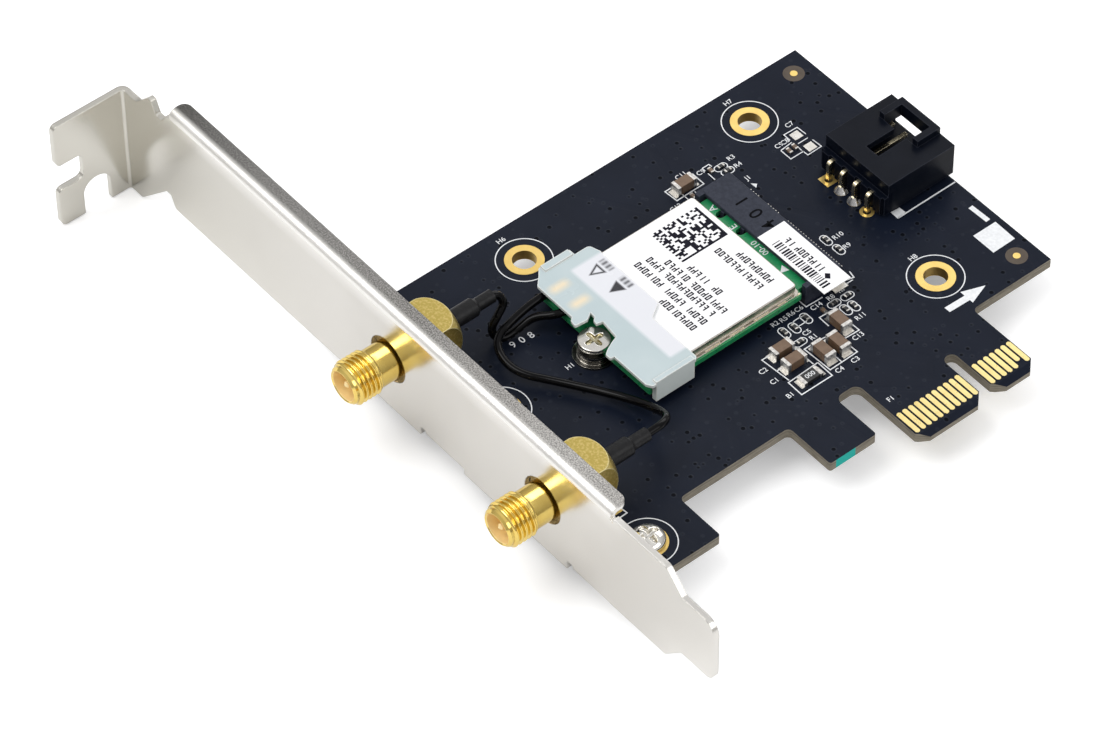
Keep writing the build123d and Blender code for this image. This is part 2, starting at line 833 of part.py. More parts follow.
def make_plug(x, y):
    """Snap-on cap over the receptacle's ring, with the crimped collar on the cable's side."""
    low = MODULE_TOP + PORT_BASE_H
    top = MODULE_TOP + PLUG_TOP
    cap = rod(PLUG_R, 0, 0, low, top)
    collar = Pos(0, -COLLAR_L / 2, CABLE_AXIS_Z) * Rot(90, 0, 0) * Cylinder(COLLAR_R, COLLAR_L)
    plug = cap + collar
    plug -= rod(PORT_RING_R, 0, 0, MODULE_TOP, MODULE_TOP + PORT_RING_H)
    half = PORT_BASE / 2
    plug -= block(-half, half, -half, half, MODULE_TOP, low)
    return Pos(x, y, 0) * plug


# Module socket


def spring_profile(upper):
    """Formed contact strip of (y, z, radius): spring on the module, leg and soldered tail."""
    t = CONTACT_SHEET
    if upper:
        touch = MODULE_TOP + COPPER_T
        leg = SOCKET_REAR_TOP - 0.9
        return [
            (-6.2, touch, 0),
            (-6.2, touch + t, 0),
            (leg + t, touch + t, 0),
            (leg + t, t, 0),
            (TAIL_OUT, t, 0),
            (TAIL_OUT, 0, 0),
            (leg, 0, 0),
            (leg, touch, 0),
        ]
    touch = MODULE_LOW - COPPER_T
    leg = SOCKET_FRONT + 2.6
    return [
        (-6.2, touch, 0),
        (-6.2, touch - t, 0),
        (leg - t, touch - t, 0),
        (leg - t, t, 0),
        (UNDER_TAIL, t, 0),
        (UNDER_TAIL, 0, 0),
        (leg, 0, 0),
        (leg, touch, 0),
    ]


def make_springs():
    springs = []
    for upper, shift in ((True, 0), (False, FINGER_PITCH / 2)):
        for x in finger_places(shift):
            springs.append(across_x(spring_profile(upper), x - SPRING_W / 2, x + SPRING_W / 2))
    return springs


def make_socket(springs):
    """Moulded housing with the module's slot, two key ribs, end arms and contact grooves."""
    body = across_x(
        [
            (SOCKET_FRONT, 0, 0),
            (SOCKET_FRONT, SOCKET_TOP, 0.2),
            (SOCKET_REAR_TOP, SOCKET_TOP, 0),
            (SOCKET_REAR, SOCKET_TOP - SOCKET_SLOPE, 0),
            (SOCKET_REAR, 0, 0),
        ],
        SOCKET_LEFT,
        SOCKET_RIGHT,
    )
    slot_left = MODULE_X - TONGUE_HALF - GAP
    slot_right = MODULE_X + TONGUE_HALF + GAP
    slot_end = TONGUE_END + GAP
    body += block(SOCKET_LEFT, slot_left, ARM_FRONT, SOCKET_FRONT, 0, SOCKET_TOP)
    body += block(slot_right, SOCKET_RIGHT, ARM_FRONT, SOCKET_FRONT, 0, SOCKET_TOP)
    body -= block(slot_left, slot_right, SOCKET_FRONT, slot_end, MODULE_LOW - GAP, MODULE_TOP + GAP)
    for offset in KEY_OFFSETS:
        x = MODULE_X + offset
        half = KEY_W / 2 - GAP
        rib_front = TONGUE_END - KEY_DEPTH + KEY_W / 2 + GAP
        body += block(x - half, x + half, rib_front, slot_end, MODULE_LOW - GAP, MODULE_TOP + GAP)
    return body - springs


def make_solder_tabs():
    """Bent tab at each end of the socket, its foot soldered to the board."""
    tabs = []
    y1 = SOCKET_REAR - GAP
    y0 = y1 - SOLDER_TAB_W
    profile = [
        (0, 0, 0),
        (SOLDER_TAB_L, 0, 0),
        (SOLDER_TAB_L, SOLDER_TAB_T, 0),
        (SOLDER_TAB_T, SOLDER_TAB_T, 0),
        (SOLDER_TAB_T, SOLDER_TAB_H, 0),
        (0, SOLDER_TAB_H, 0),
    ]
    tab = across_y(profile, y0, y1)
    return Compound([Pos(SOCKET_RIGHT, 0, 0) * tab, Pos(SOCKET_LEFT, 0, 0) * mirror(tab, Plane.YZ)])


def make_socket_label():
    x0, x1, y0, y1 = SOCKET_LABEL
    return block(x0, x1, y0, y1, SOCKET_TOP, SOCKET_TOP + LABEL_T)


# Module hold-down


def make_standoff():
    """Stepped spacer with a tapped bore."""
    low, high = STANDOFF_GROOVE
    return Pos(MODULE_X, MODULE_END, 0) * turned(
        [
            (MODULE_SCREW_R, 0),
            (STANDOFF_FLANGE_R, 0),
            (STANDOFF_FLANGE_R, STANDOFF_FLANGE_H),
            (STANDOFF_R, STANDOFF_FLANGE_H),
            (STANDOFF_R, low),
            (STANDOFF_GROOVE_R, low),
            (STANDOFF_GROOVE_R, high),
            (STANDOFF_R, high),
            (STANDOFF_R, MODULE_LOW),
            (MODULE_SCREW_R, MODULE_LOW),
        ]
    )


def make_module_screw():
    top = MODULE_TOP + MODULE_HEAD_H
    head = rod(MODULE_HEAD_R, 0, 0, MODULE_TOP, top)
    rim = head.edges().filter_by(GeomType.CIRCLE).sort_by(Axis.Z)[-1]
    head = chamfer(rim, MODULE_HEAD_CHAMFER)
    head -= cross_recess(MODULE_CROSS_SPAN, MODULE_CROSS_W, top, MODULE_CROSS_DEPTH)
    shank = rod(MODULE_SCREW_R, 0, 0, MODULE_TOP - MODULE_SCREW_LEN, MODULE_TOP)
    return Pos(MODULE_X, MODULE_END, 0) * (head + shank)


def make_retainer():
    """Clear cover on the can's front end: thin roof, two walls, and hooks under the module."""
    left_wall = MODULE_X - MODULE_HALF - COVER_GAP_LEFT
    right_wall = MODULE_X + MODULE_HALF + COVER_GAP_RIGHT
    left = left_wall - COVER_WALL_LEFT
    right = right_wall + COVER_WALL_RIGHT
    front = MODULE_END
    rear = CAN_FRONT
    outline = [
        (left, front + 1.55, 0.3),
        (left, rear + 1.9, 0.2),
        (left_wall, rear + 1.9, 0),
        (left_wall, rear + 4.3, 0.7),
        (left_wall + 1.7, rear + 4.85, 0.3),
        (left_wall + 2.5, rear + 4.7, 0.2),
        (MODULE_X + 1.5, rear + 4.7, 0.6),
        (MODULE_X + 3.0, rear + 2.4, 0.6),
        (right, rear + 2.4, 0.6),
        (right, front - 0.35, 0.5),
        (right - 0.85, front - 0.85, 0.3),
    ]
    outline += [(MODULE_X + dx, front + dy, r) for dx, dy, r in COVER_OPENING]
    outline += [(left_wall + 1.2, front - 0.55, 0.5), (left_wall, front + 0.65, 0.5)]
    roof = plate(outline, COVER_LOW, COVER_LOW + COVER_T)
    right_side = block(right_wall, right, front + 0.25, rear + 1.8, COVER_BOTTOM, COVER_RIM)
    left_side = block(left, left_wall, front + 1.85, rear + 1.6, COVER_BOTTOM, COVER_RIM)
    hook_top = COVER_BOTTOM + COVER_HOOK
    right_hook = block(right_wall - 0.8, right_wall, front + 1.05, rear + 1.2, COVER_BOTTOM, hook_top)
    left_hook = block(left_wall, left_wall + 1.5, front + 2.55, rear + 0.9, COVER_BOTTOM, hook_top)
    return roof + right_side + left_side + right_hook + left_hook


# Cable header


def header_pin_places():
    return [HEADER_X + (n - (PIN_COUNT - 1) / 2) * PIN_PITCH for n in range(PIN_COUNT)]


def make_header():
    """Shrouded housing open to the rear, with a latch bridge on its roof and ribs between the pins."""
    left = HEADER_X - HEADER_HALF
    right = HEADER_X + HEADER_HALF
    inner = HEADER_FRONT + HEADER_BACK
    body = block(left, right, HEADER_FRONT, HEADER_REAR, HEADER_LOW, HEADER_TOP)
    body += block(left, right, PIN_WALL, HEADER_FRONT, HEADER_LOW, SHELF_Z)
    rib_count = PIN_COUNT + 1
    for n in range(rib_count):
        x = HEADER_X + (n - (rib_count - 1) / 2) * PIN_PITCH
        body += block(x - RIB_W / 2, x + RIB_W / 2, RIB_FRONT, PIN_WALL, HEADER_LOW, SHELF_Z)
    latch_left = HEADER_X + LATCH_OFFSET - LATCH_HALF
    latch_right = HEADER_X + LATCH_OFFSET + LATCH_HALF
    body += block(latch_left, latch_right, LATCH_FRONT, HEADER_REAR, HEADER_TOP, LATCH_TOP)
    body -= block(
        latch_left + LATCH_WALL,
        latch_right - LATCH_WALL,
        LATCH_FRONT,
        HEADER_REAR - LATCH_WALL,
        HEADER_TOP - HEADER_WALL,
        LATCH_TOP,
    )
    body -= block(
        left + HEADER_WALL,
        right - HEADER_WALL,
        inner,
        HEADER_REAR,
        HEADER_LOW + HEADER_WALL,
        HEADER_TOP - HEADER_WALL,
    )
    slot = LATCH_SLOT_W / 2
    body -= block(HEADER_X - slot, HEADER_X + slot, inner, LATCH_FRONT, HEADER_TOP - HEADER_WALL, HEADER_TOP)
    half = PIN_W / 2
    for x in header_pin_places():
        body -= block(x - half, x + half, PIN_WALL, inner, PIN_Z - half, PIN_Z + half)
    return body


def make_header_pin(x):
    """Square wire bent at a right angle, its free end towards the plug."""
    half = PIN_W / 2
    return across_x(
        [
            (PIN_Y - half, PIN_LOW, 0),
            (PIN_Y - half, PIN_Z + half, PIN_BEND),
            (PIN_END, PIN_Z + half, 0),
            (PIN_END, PIN_Z - half, 0),
            (PIN_Y + half, PIN_Z - half, PIN_BEND - PIN_W),
            (PIN_Y + half, PIN_LOW, 0),
        ],
        x - half,
        x + half,
    )


def make_header_pads():
    """Solder lands on the top face, the first one square."""
    pads = []
    for n, x in enumerate(header_pin_places()):
        land = rod(PAD_R, x, PIN_Y, 0, COPPER_T)
        if n == 0:
            land = block(x - PAD_R, x + PAD_R, PIN_Y - PAD_R, PIN_Y + PAD_R, 0, COPPER_T)
        pads.append(land - rod(PIN_HOLE_R, x, PIN_Y, 0, COPPER_T))
    return Compound(pads)


def make_solder():
    """Solder cones: two on the top face, four underneath."""
    half = PIN_W / 2
    cones = []
    for n, x in enumerate(header_pin_places()):
        wire = block(-half, half, -half, half, -BOARD_T - CONE_H, COPPER_T + CONE_H)
        tip = -BOARD_T - CONE_H
        under = turned([(0, -BOARD_T), (PAD_R, -BOARD_T), (half * 1.5, tip), (0, tip)])
        cones.append(Pos(x, PIN_Y, 0) * (under - wire))
        if 0 < n < PIN_COUNT - 1:
            top = COPPER_T + CONE_H
            above = turned([(0, COPPER_T), (PAD_R, COPPER_T), (half * 1.5, top), (0, top)])
            cones.append(Pos(x, PIN_Y, 0) * (above - wire))
    return Compound(cones)


# Chip parts


def place_chip(shape, x, y, along):
    return Pos(x, y, 0) * Rot(0, 0, 90 if along == "y" else 0) * shape


def make_chip(x, y, along, length, width, height):
    """Chip part with an end cap proud of its body at each end."""
    step = END_STEP
    body = block(-length / 2, length / 2, -width / 2 + step, width / 2 - step, step, height - step)
    for side in (-1, 1):
        inner = side * (length / 2 - END_CAP)
        outer = side * length / 2
        cap = block(min(inner, outer), max(inner, outer), -width / 2, width / 2, 0, height)
        body += cap
    return place_chip(body, x, y, along)


def make_small_bodies(chips):
    half = SMALL_LENGTH / 2 - SMALL_CAP
    body = block(-half, half, -SMALL_WIDTH / 2, SMALL_WIDTH / 2, 0, SMALL_HEIGHT)
    return Compound([place_chip(body, *chip) for chip in chips])


def make_small_caps(chips):
    """Tinned end caps, one against each end of a small body."""
    caps = []
    for side in (-1, 1):
        centre = side * (SMALL_LENGTH - SMALL_CAP) / 2
        half = SMALL_CAP / 2
        cap = block(centre - half, centre + half, -SMALL_WIDTH / 2, SMALL_WIDTH / 2, 0, SMALL_HEIGHT)
        caps += [place_chip(cap, *chip) for chip in chips]
    return Compound(caps)


def make_land(x0, x1, y0, y1):
    return block(x0, x1, y0, y1, 0, COPPER_T)


def make_parts():
    springs = make_springs()
    parts = {
        "board": make_board(),
        "edge_contacts_top": make_edge_contacts(0, CONTACT_COUNT - 1),
        "edge_contacts_bottom": make_edge_contacts(-BOARD_T - COPPER_T, 1),
        "fiducials": make_fiducials(),
        "bracket": make_bracket(),
        "module_board": make_module_board(),
        "module_contacts": make_module_fingers(),
        "shield_lid": make_can_lid(),
        "shield_fence": make_can_fence(),
        "module_label": make_module_label(),
        "socket_housing": make_socket(springs),
        "socket_contacts": Compound(springs),
        "socket_solder_tabs": make_solder_tabs(),
        "socket_label": make_socket_label(),
        "standoff": make_standoff(),
        "module_screw": make_module_screw(),
        "retainer": make_retainer(),
        "header_housing": make_header(),
        "header_lands": make_header_pads(),
        "header_solder": make_solder(),
        "chip_resistor": make_chip(*RESISTOR),
        "small_resistors": make_small_bodies(SMALL_RESISTORS),
        "small_capacitors": make_small_bodies(SMALL_CAPACITORS),
        "small_chip_caps": make_small_caps(SMALL_RESISTORS + SMALL_CAPACITORS),
        "spare_lands": Compound([make_land(*limits) for limits in SPARE_LANDS]),
        "ground_land": make_land(*GROUND_LAND),
    }
    for n, (x, y) in enumerate(SPARE_HOLES, 1):
        parts[f"hole_ring_{n}"] = make_ring(x, y)
    for n, (x, y) in enumerate(FOOT_SCREWS, 1):
        parts[f"screw_ring_{n}"] = make_ring(x, y)
        parts[f"foot_screw_{n}"] = make_foot_screw(x, y)
    for n, x in enumerate(JACK_X, 1):
        parts[f"jack_shell_{n}"] = on_bracket(x) * make_jack_shell()
        parts[f"jack_insulator_{n}"] = on_bracket(x) * make_insulator()
        parts[f"jack_pin_{n}"] = on_bracket(x) * make_jack_pin()
        parts[f"jack_sleeve_{n}"] = on_bracket(x) * make_sleeve()
    for n, points in enumerate(cable_points(), 1):
        parts[f"pigtail_{n}"] = make_cable(points)
    for n, (x, y) in enumerate(PORTS, 1):
        parts[f"receptacle_{n}"] = make_receptacle(x, y)
        parts[f"pigtail_plug_{n}"] = make_plug(x, y)
    for n, x in enumerate(header_pin_places(), 1):
        parts[f"header_pin_{n}"] = make_header_pin(x)
    for n, chip in enumerate(CAPACITORS, 1):
        parts[f"capacitor_{n}"] = make_chip(*chip)
    return parts


os.makedirs("parts", exist_ok=True)
for name, shape in make_parts().items():
    export_step(shape, f"parts/{name}.step")
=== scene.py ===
import bmesh
import bpy
import math
import random
from mathutils import Matrix, Vector


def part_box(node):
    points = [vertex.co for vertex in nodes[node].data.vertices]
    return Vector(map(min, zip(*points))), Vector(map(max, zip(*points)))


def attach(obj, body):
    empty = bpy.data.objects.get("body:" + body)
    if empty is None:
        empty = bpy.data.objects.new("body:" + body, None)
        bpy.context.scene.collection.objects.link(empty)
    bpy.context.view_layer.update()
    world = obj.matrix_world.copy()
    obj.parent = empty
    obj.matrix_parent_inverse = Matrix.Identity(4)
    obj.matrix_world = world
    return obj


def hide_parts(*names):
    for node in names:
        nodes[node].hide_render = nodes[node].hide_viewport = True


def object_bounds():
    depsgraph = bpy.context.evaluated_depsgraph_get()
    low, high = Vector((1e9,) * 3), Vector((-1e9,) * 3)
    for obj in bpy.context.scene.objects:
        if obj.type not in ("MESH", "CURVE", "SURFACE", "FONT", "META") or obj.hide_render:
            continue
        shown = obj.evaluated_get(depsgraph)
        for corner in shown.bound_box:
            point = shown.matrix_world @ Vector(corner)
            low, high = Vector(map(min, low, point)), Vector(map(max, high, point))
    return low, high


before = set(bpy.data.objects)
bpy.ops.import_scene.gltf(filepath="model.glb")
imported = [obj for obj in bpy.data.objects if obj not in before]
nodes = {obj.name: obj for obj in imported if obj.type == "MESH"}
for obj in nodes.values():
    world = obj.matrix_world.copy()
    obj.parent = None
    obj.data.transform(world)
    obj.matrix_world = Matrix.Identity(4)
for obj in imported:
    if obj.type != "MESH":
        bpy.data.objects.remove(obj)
cad_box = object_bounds()

MM = 0.001

# Places and sizes that the printing and the looks share with the CAD model, in millimetres
BOARD_T = 1.52
COPPER_T = 0.05
INK = 0.012
SPARE_HOLES = [(-56.67, -30.91), (-56.77, 8.25), (-19.88, 8.26)]
FOOT_SCREWS = [(-38.4, -49.7), (-9.6, -49.7)]
FOOT_SCREW_END = -3.13
HOLES = SPARE_HOLES + FOOT_SCREWS
HOLE_R = 1.64
FIDUCIALS = [(-59.8, 18.75), (-15.8, 18.85)]
FIDUCIAL_R = 0.52
MASK_OPENING_R = 1.5
LEG_EDGE_X = -4.55
TEAL_MARK_Y = (-22.7, -19.4)

MODULE_TOP = 2.3
MODULE_SCREW = (-38.1, -34.55)
LABEL_TOP = 3.9
SOCKET_TOP = 3.2
SOCKET_LABEL_TOP = 3.3

BRACKET_IN = -58.11
JACK_X = [-49.8, -19.0]
JACK_Z = 6.5
THREAD_BACK = 4.1
THREAD_FRONT = 7.3
THREAD_R = 3.15
THREAD_ROOT = 2.68
THREAD_PITCH = 0.7056
BARREL_R = 2.75
LIP_R = 2.7
BORE_R = 2.15
CABLE_D = 1.13

# The photograph's camera, fitted to traced points: degrees and millimetres
CAMERA_AZIMUTH = 50.77
CAMERA_ELEVATION = 48.11
CAMERA_ROLL = -0.605
CAMERA_PLACE = (332.48, -344.49, 536.46)
CAMERA_LENS = 183.4
CAMERA_FILM = 36


def make_camera():
    """Camera at the photograph's place."""
    azimuth = math.radians(CAMERA_AZIMUTH)
    elevation = math.radians(CAMERA_ELEVATION)
    roll = math.radians(CAMERA_ROLL)
    level = Vector((math.cos(azimuth), math.sin(azimuth), 0))
    flat = Vector((-math.sin(azimuth), math.cos(azimuth), 0))
    look = flat * math.cos(elevation) - Vector((0, 0, math.sin(elevation)))
    upright = level.cross(look)
    right = level * math.cos(roll) + upright * math.sin(roll)
    up = upright * math.cos(roll) - level * math.sin(roll)
    data = bpy.data.cameras.new("camera")
    data.sensor_width = CAMERA_FILM
    data.lens = CAMERA_LENS
    data.clip_end = 10
    camera = bpy.data.objects.new("camera", data)
    turn = Matrix((right, up, -look)).transposed().to_4x4()
    camera.matrix_world = Matrix.Translation(Vector(CAMERA_PLACE) * MM) @ turn
    bpy.context.collection.objects.link(camera)
    bpy.context.scene.camera = camera


# Node materials


def add(tree, kind, values=None, **settings):
    """Shader node with its settings, and its sockets set to values or linked."""
    made = tree.nodes.new("ShaderNode" + kind)
    for key, value in settings.items():
        setattr(made, key, value)
    for key, value in (values or {}).items():
        if isinstance(value, bpy.types.NodeSocket):
            tree.links.new(value, made.inputs[key])
        else:
            made.inputs[key].default_value = value
    return made


def colour4(rgb):
    return (rgb[0], rgb[1], rgb[2], 1)


def spread(tree, stretch=(1, 1, 1)):
    """Object coordinates, in millimetres times stretch."""
    where = add(tree, "TexCoord").outputs["Object"]
    scale = [s / MM for s in stretch]
    return add(tree, "Mapping", {"Vector": where, "Scale": scale}).outputs["Vector"]


def noise(tree, where, size, detail=3.0):
    """Noise from 0 to 1 with features about size across, in millimetres."""
    made = add(tree, "TexNoise", {"Vector": where, "Scale": 1 / size, "Detail": detail})
    return made.outputs["Fac"]


def ranged(tree, value, start, end, low=0.0, high=1.0):
    made = add(tree, "MapRange", {"Value": value})
    made.inputs["From Min"].default_value = start
    made.inputs["From Max"].default_value = end
    made.inputs["To Min"].default_value = low
    made.inputs["To Max"].default_value = high
    return made.outputs["Result"]


def maths(tree, operation, a, b=0.0):
    made = add(tree, "Math", {0: a, 1: b}, operation=operation)
    return made.outputs[0]


def product(tree, *shares):
    whole = shares[0]
    for share in shares[1:]:
        whole = maths(tree, "MULTIPLY", whole, share)
    return whole


def greatest(tree, shares):
    whole = shares[0]
    for share in shares[1:]:
        whole = maths(tree, "MAXIMUM", whole, share)
    return whole


def mixed(tree, share, a, b):
    """Colour a where share is 0 and b where it is 1."""
    values = {0: share}
    for index, colour in ((6, a), (7, b)):
        values[index] = colour if isinstance(colour, bpy.types.NodeSocket) else colour4(colour)
    return add(tree, "Mix", values, data_type="RGBA").outputs[2]


def mixed_value(tree, share, a, b):
    return add(tree, "Mix", {0: share, 2: a, 3: b}, data_type="FLOAT").outputs[0]


def position(tree):
    """Object coordinates in millimetres, one output an axis."""
    where = spread(tree)
    return add(tree, "SeparateXYZ", {0: where}).outputs


def between(tree, value, low, high):
    """1 where value lies from low to high."""
    above = maths(tree, "GREATER_THAN", value, low)
    return product(tree, above, maths(tree, "LESS_THAN", value, high))


def distance(tree, across, along, place):
    """Distance from a place in the plane of two coordinates."""
    here = add(tree, "CombineXYZ", {0: across, 1: along}).outputs[0]
    made = add(tree, "VectorMath", {0: here, 1: (*place, 0)}, operation="DISTANCE")
    return made.outputs["Value"]


def on_walls(tree):
    """1 on upright faces and 0 on level ones."""
    normal = add(tree, "NewGeometry").outputs["True Normal"]
    rise = add(tree, "SeparateXYZ", {0: normal}).outputs[2]
    return maths(tree, "LESS_THAN", maths(tree, "ABSOLUTE", rise), 0.5)


def bumped(tree, height, depth, normal):
    """Normal with a relief of depth in millimetres over another one."""
    made = add(tree, "Bump", {"Height": height, "Distance": depth * MM, "Normal": normal})
    return made.outputs[0]


def rounded(tree, width):
    """Normal that rounds sharp edges by width in millimetres."""
    return add(tree, "Bevel", {"Radius": width * MM}, samples=4).outputs["Normal"]


def near_edge(tree, width, full=0.92):
    """About 1 along sharp edges, within width in millimetres, and 0 elsewhere.

    full is the cosine of the bend that counts as 1.
    """
    flat = add(tree, "NewGeometry").outputs["Normal"]
    dot = add(tree, "VectorMath", {0: rounded(tree, width), 1: flat}, operation="DOT_PRODUCT")
    return ranged(tree, dot.outputs["Value"], 0.998, full)


def surface(name, colour, shade, size, rough, bump, grain, **shader_values):
    """Material with mottled colour, uneven gloss and a fine bump, its lengths in millimetres."""
    material = bpy.data.materials.new(name)
    material.use_nodes = True
    tree = material.node_tree
    shader = tree.nodes["Principled BSDF"]
    where = spread(tree)
    mottle = ranged(tree, noise(tree, where, size), 0.35, 0.65)
    tree.links.new(mixed(tree, mottle, colour, shade), shader.inputs["Base Color"])
    gloss = ranged(tree, noise(tree, where, size * 0.6), 0.3, 0.7, rough[0], rough[1])
    tree.links.new(gloss, shader.inputs["Roughness"])
    fine = noise(tree, where, grain)
    relief = add(tree, "Bump", {"Height": fine, "Distance": bump * MM, "Strength": 1.0})
    tree.links.new(relief.outputs["Normal"], shader.inputs["Normal"])
    for key, value in shader_values.items():
        shader.inputs[key.replace("_", " ")].default_value = value
    material.diffuse_color = colour4(colour)
    return material


def metal(name, colour, shade, size, rough, bump, grain):
    """Surface of bare or plated metal."""
    return surface(name, colour, shade, size, rough, bump, grain, Metallic=1.0)


def parts_of(material):
    """Its tree, its shader, and what feeds the shader's colour, roughness and normal."""
    tree = material.node_tree
    shader = tree.nodes["Principled BSDF"]
    feeds = [shader.inputs[key].links[0].from_socket for key in ("Base Color", "Roughness", "Normal")]
    return tree, shader, feeds


def edge_highlights(material, colour, width, amount):
    """Painted highlight: lightens the material along its sharp edges."""
    tree, shader, (base, _, _) = parts_of(material)
    share = product(tree, near_edge(tree, width), amount)
    tree.links.new(mixed(tree, share, base, colour), shader.inputs["Base Color"])
    return material


def soft_edges(material, width):
    """Rounds the look of sharp edges by width in millimetres, under the fine bump."""
    tree, _, (_, _, normal) = parts_of(material)
    tree.links.new(rounded(tree, width), normal.node.inputs["Normal"])
    return material


def tented_vias(tree, flat):
    """Scattered vias under the solder mask, and the same places with their rims."""
    cells = add(tree, "TexVoronoi", {"Vector": flat, "Scale": 0.72, "Randomness": 0.8})
    chance = add(tree, "SeparateXYZ", {0: cells.outputs["Color"]}).outputs[0]
    drilled = maths(tree, "GREATER_THAN", chance, 0.3)
    gap = cells.outputs["Distance"]
    via = product(tree, ranged(tree, gap, 0.25, 0.17), drilled)
    rim = product(tree, ranged(tree, gap, 0.36, 0.29), drilled)
    return via, rim


def laminate_colour(tree, x, y, z):
    """Layers of the board's edges, with a line of copper and the teal mark on one leg."""
    where = spread(tree, (0.5, 0.5, 6))
    layers = add(tree, "TexNoise", {"Vector": where, "Scale": 1.2, "Detail": 4.0}).outputs["Fac"]
    weave = mixed(tree, ranged(tree, layers, 0.35, 0.65), (0.150, 0.135, 0.105), (0.250, 0.225, 0.180))
    copper = between(tree, z, -BOARD_T * 0.28, -BOARD_T * 0.22)
    weave = mixed(tree, product(tree, copper, 0.5), weave, (0.045, 0.036, 0.028))
    at_leg = between(tree, x, LEG_EDGE_X - 0.15, LEG_EDGE_X + 0.15)
    teal = product(tree, between(tree, y, *TEAL_MARK_Y), at_leg)
    return mixed(tree, teal, weave, (0.018, 0.36, 0.31))


def board_material():
    """Dark solder mask with tented vias, laminate edges, plated hole walls and the teal edge mark."""
    material = surface(
        "solder_mask", (0.0048, 0.0074, 0.0155), (0.0061, 0.0091, 0.0185), 6.0, (0.30, 0.40), 0.004, 1.2,
        Specular_IOR_Level=0.14,
    )
    tree, shader, (base, gloss, normal) = parts_of(material)
    x, y, z = position(tree)
    flat = add(tree, "CombineXYZ", {0: x, 1: y}).outputs[0]
    via, rim = tented_vias(tree, flat)
    # Painted highlight: a lighter ring on each via's rim
    base = mixed(tree, product(tree, rim, 0.45), base, (0.016, 0.020, 0.030))
    base = mixed(tree, product(tree, via, 0.85), base, (0.0012, 0.0015, 0.0026))
    duller_to_rear = ranged(tree, y, -25, 15, 0.14, 0.085)
    shine = product(tree, ranged(tree, via, 0, 1, 1, 0.35), duller_to_rear)
    tree.links.new(shine, shader.inputs["Specular IOR Level"])
    pour = add(
        tree, "TexVoronoi", {"Vector": flat, "Scale": 0.085},
        distance="MANHATTAN", feature="DISTANCE_TO_EDGE",
    )
    step = ranged(tree, pour.outputs["Distance"], 0.030, 0.045)
    relief = bumped(tree, step, 0.006, bumped(tree, via, 0.04, normal))
    tree.links.new(relief, shader.inputs["Normal"])

    side = on_walls(tree)
    base = mixed(tree, side, base, laminate_colour(tree, x, y, z))
    gaps = [distance(tree, x, y, hole) for hole in HOLES]
    plated = greatest(tree, [maths(tree, "LESS_THAN", gap, HOLE_R + 0.05) for gap in gaps])
    base = mixed(tree, plated, base, (0.72, 0.50, 0.17))
    tree.links.new(base, shader.inputs["Base Color"])
    tree.links.new(plated, shader.inputs["Metallic"])
    rough = mixed_value(tree, side, gloss, 0.7)
    tree.links.new(mixed_value(tree, plated, rough, 0.32), shader.inputs["Roughness"])
    return material


def bracket_material():
    """Nickel-plated steel: satin face, painted shade towards the left end, a painted highlight under the
    bend, and grain on the flange with painted shade and painted glints.
    """
    material = metal(
        "bracket_nickel", (0.79, 0.77, 0.73), (0.72, 0.70, 0.66), 18.0, (0.17, 0.25), 0.004, 0.35
    )
    tree, shader, (base, gloss, _) = parts_of(material)
    x, y, z = position(tree)
    # Painted shade: the bracket darkens towards its left end
    base = mixed(tree, ranged(tree, x, -60, -96, 0, 0.85), base, (0.64, 0.62, 0.56))
    # Painted highlight: a light band on the face under the bend
    bend_highlight = product(
        tree, ranged(tree, z, 12.6, 15.2), ranged(tree, x, -3, -7), ranged(tree, x, -97, -92, 0, 0.85)
    )
    base = mixed(tree, bend_highlight, base, (0.97, 0.955, 0.92))

    # Grain that is faint on the face and strong on the flange
    flange = ranged(tree, z, 14.6, 15.3)
    speck = noise(tree, spread(tree), 0.22, 2.0)
    grain = product(tree, speck, maths(tree, "ADD", product(tree, flange, 0.9), 0.1))
    tree.links.new(bumped(tree, grain, 0.028, rounded(tree, 0.25)), shader.inputs["Normal"])

    # Painted shade and painted glints on the flange's top: darker away from the tapered tip, with lighter
    # specks for grains that catch the light
    top = product(tree, ranged(tree, z, 15.5, 15.9), ranged(tree, y, -58.35, -57.5))
    glint_specks = ranged(tree, noise(tree, spread(tree), 0.2, 2.0), 0.40, 0.62)
    lit_toward_tip = ranged(tree, x, -88, -14)
    low = mixed(tree, lit_toward_tip, (0.030, 0.028, 0.027), (0.20, 0.19, 0.18))
    high = mixed(tree, lit_toward_tip, (0.155, 0.15, 0.14), (0.60, 0.58, 0.55))
    patch = ranged(tree, noise(tree, spread(tree), 26.0, 1.0), 0.35, 0.60, 0.85, 1.0)
    base = mixed(tree, product(tree, top, patch), base, mixed(tree, glint_specks, low, high))
    tree.links.new(base, shader.inputs["Base Color"])
    rough = maths(tree, "ADD", gloss, product(tree, flange, 0.14))
    tree.links.new(rough, shader.inputs["Roughness"])
    return material


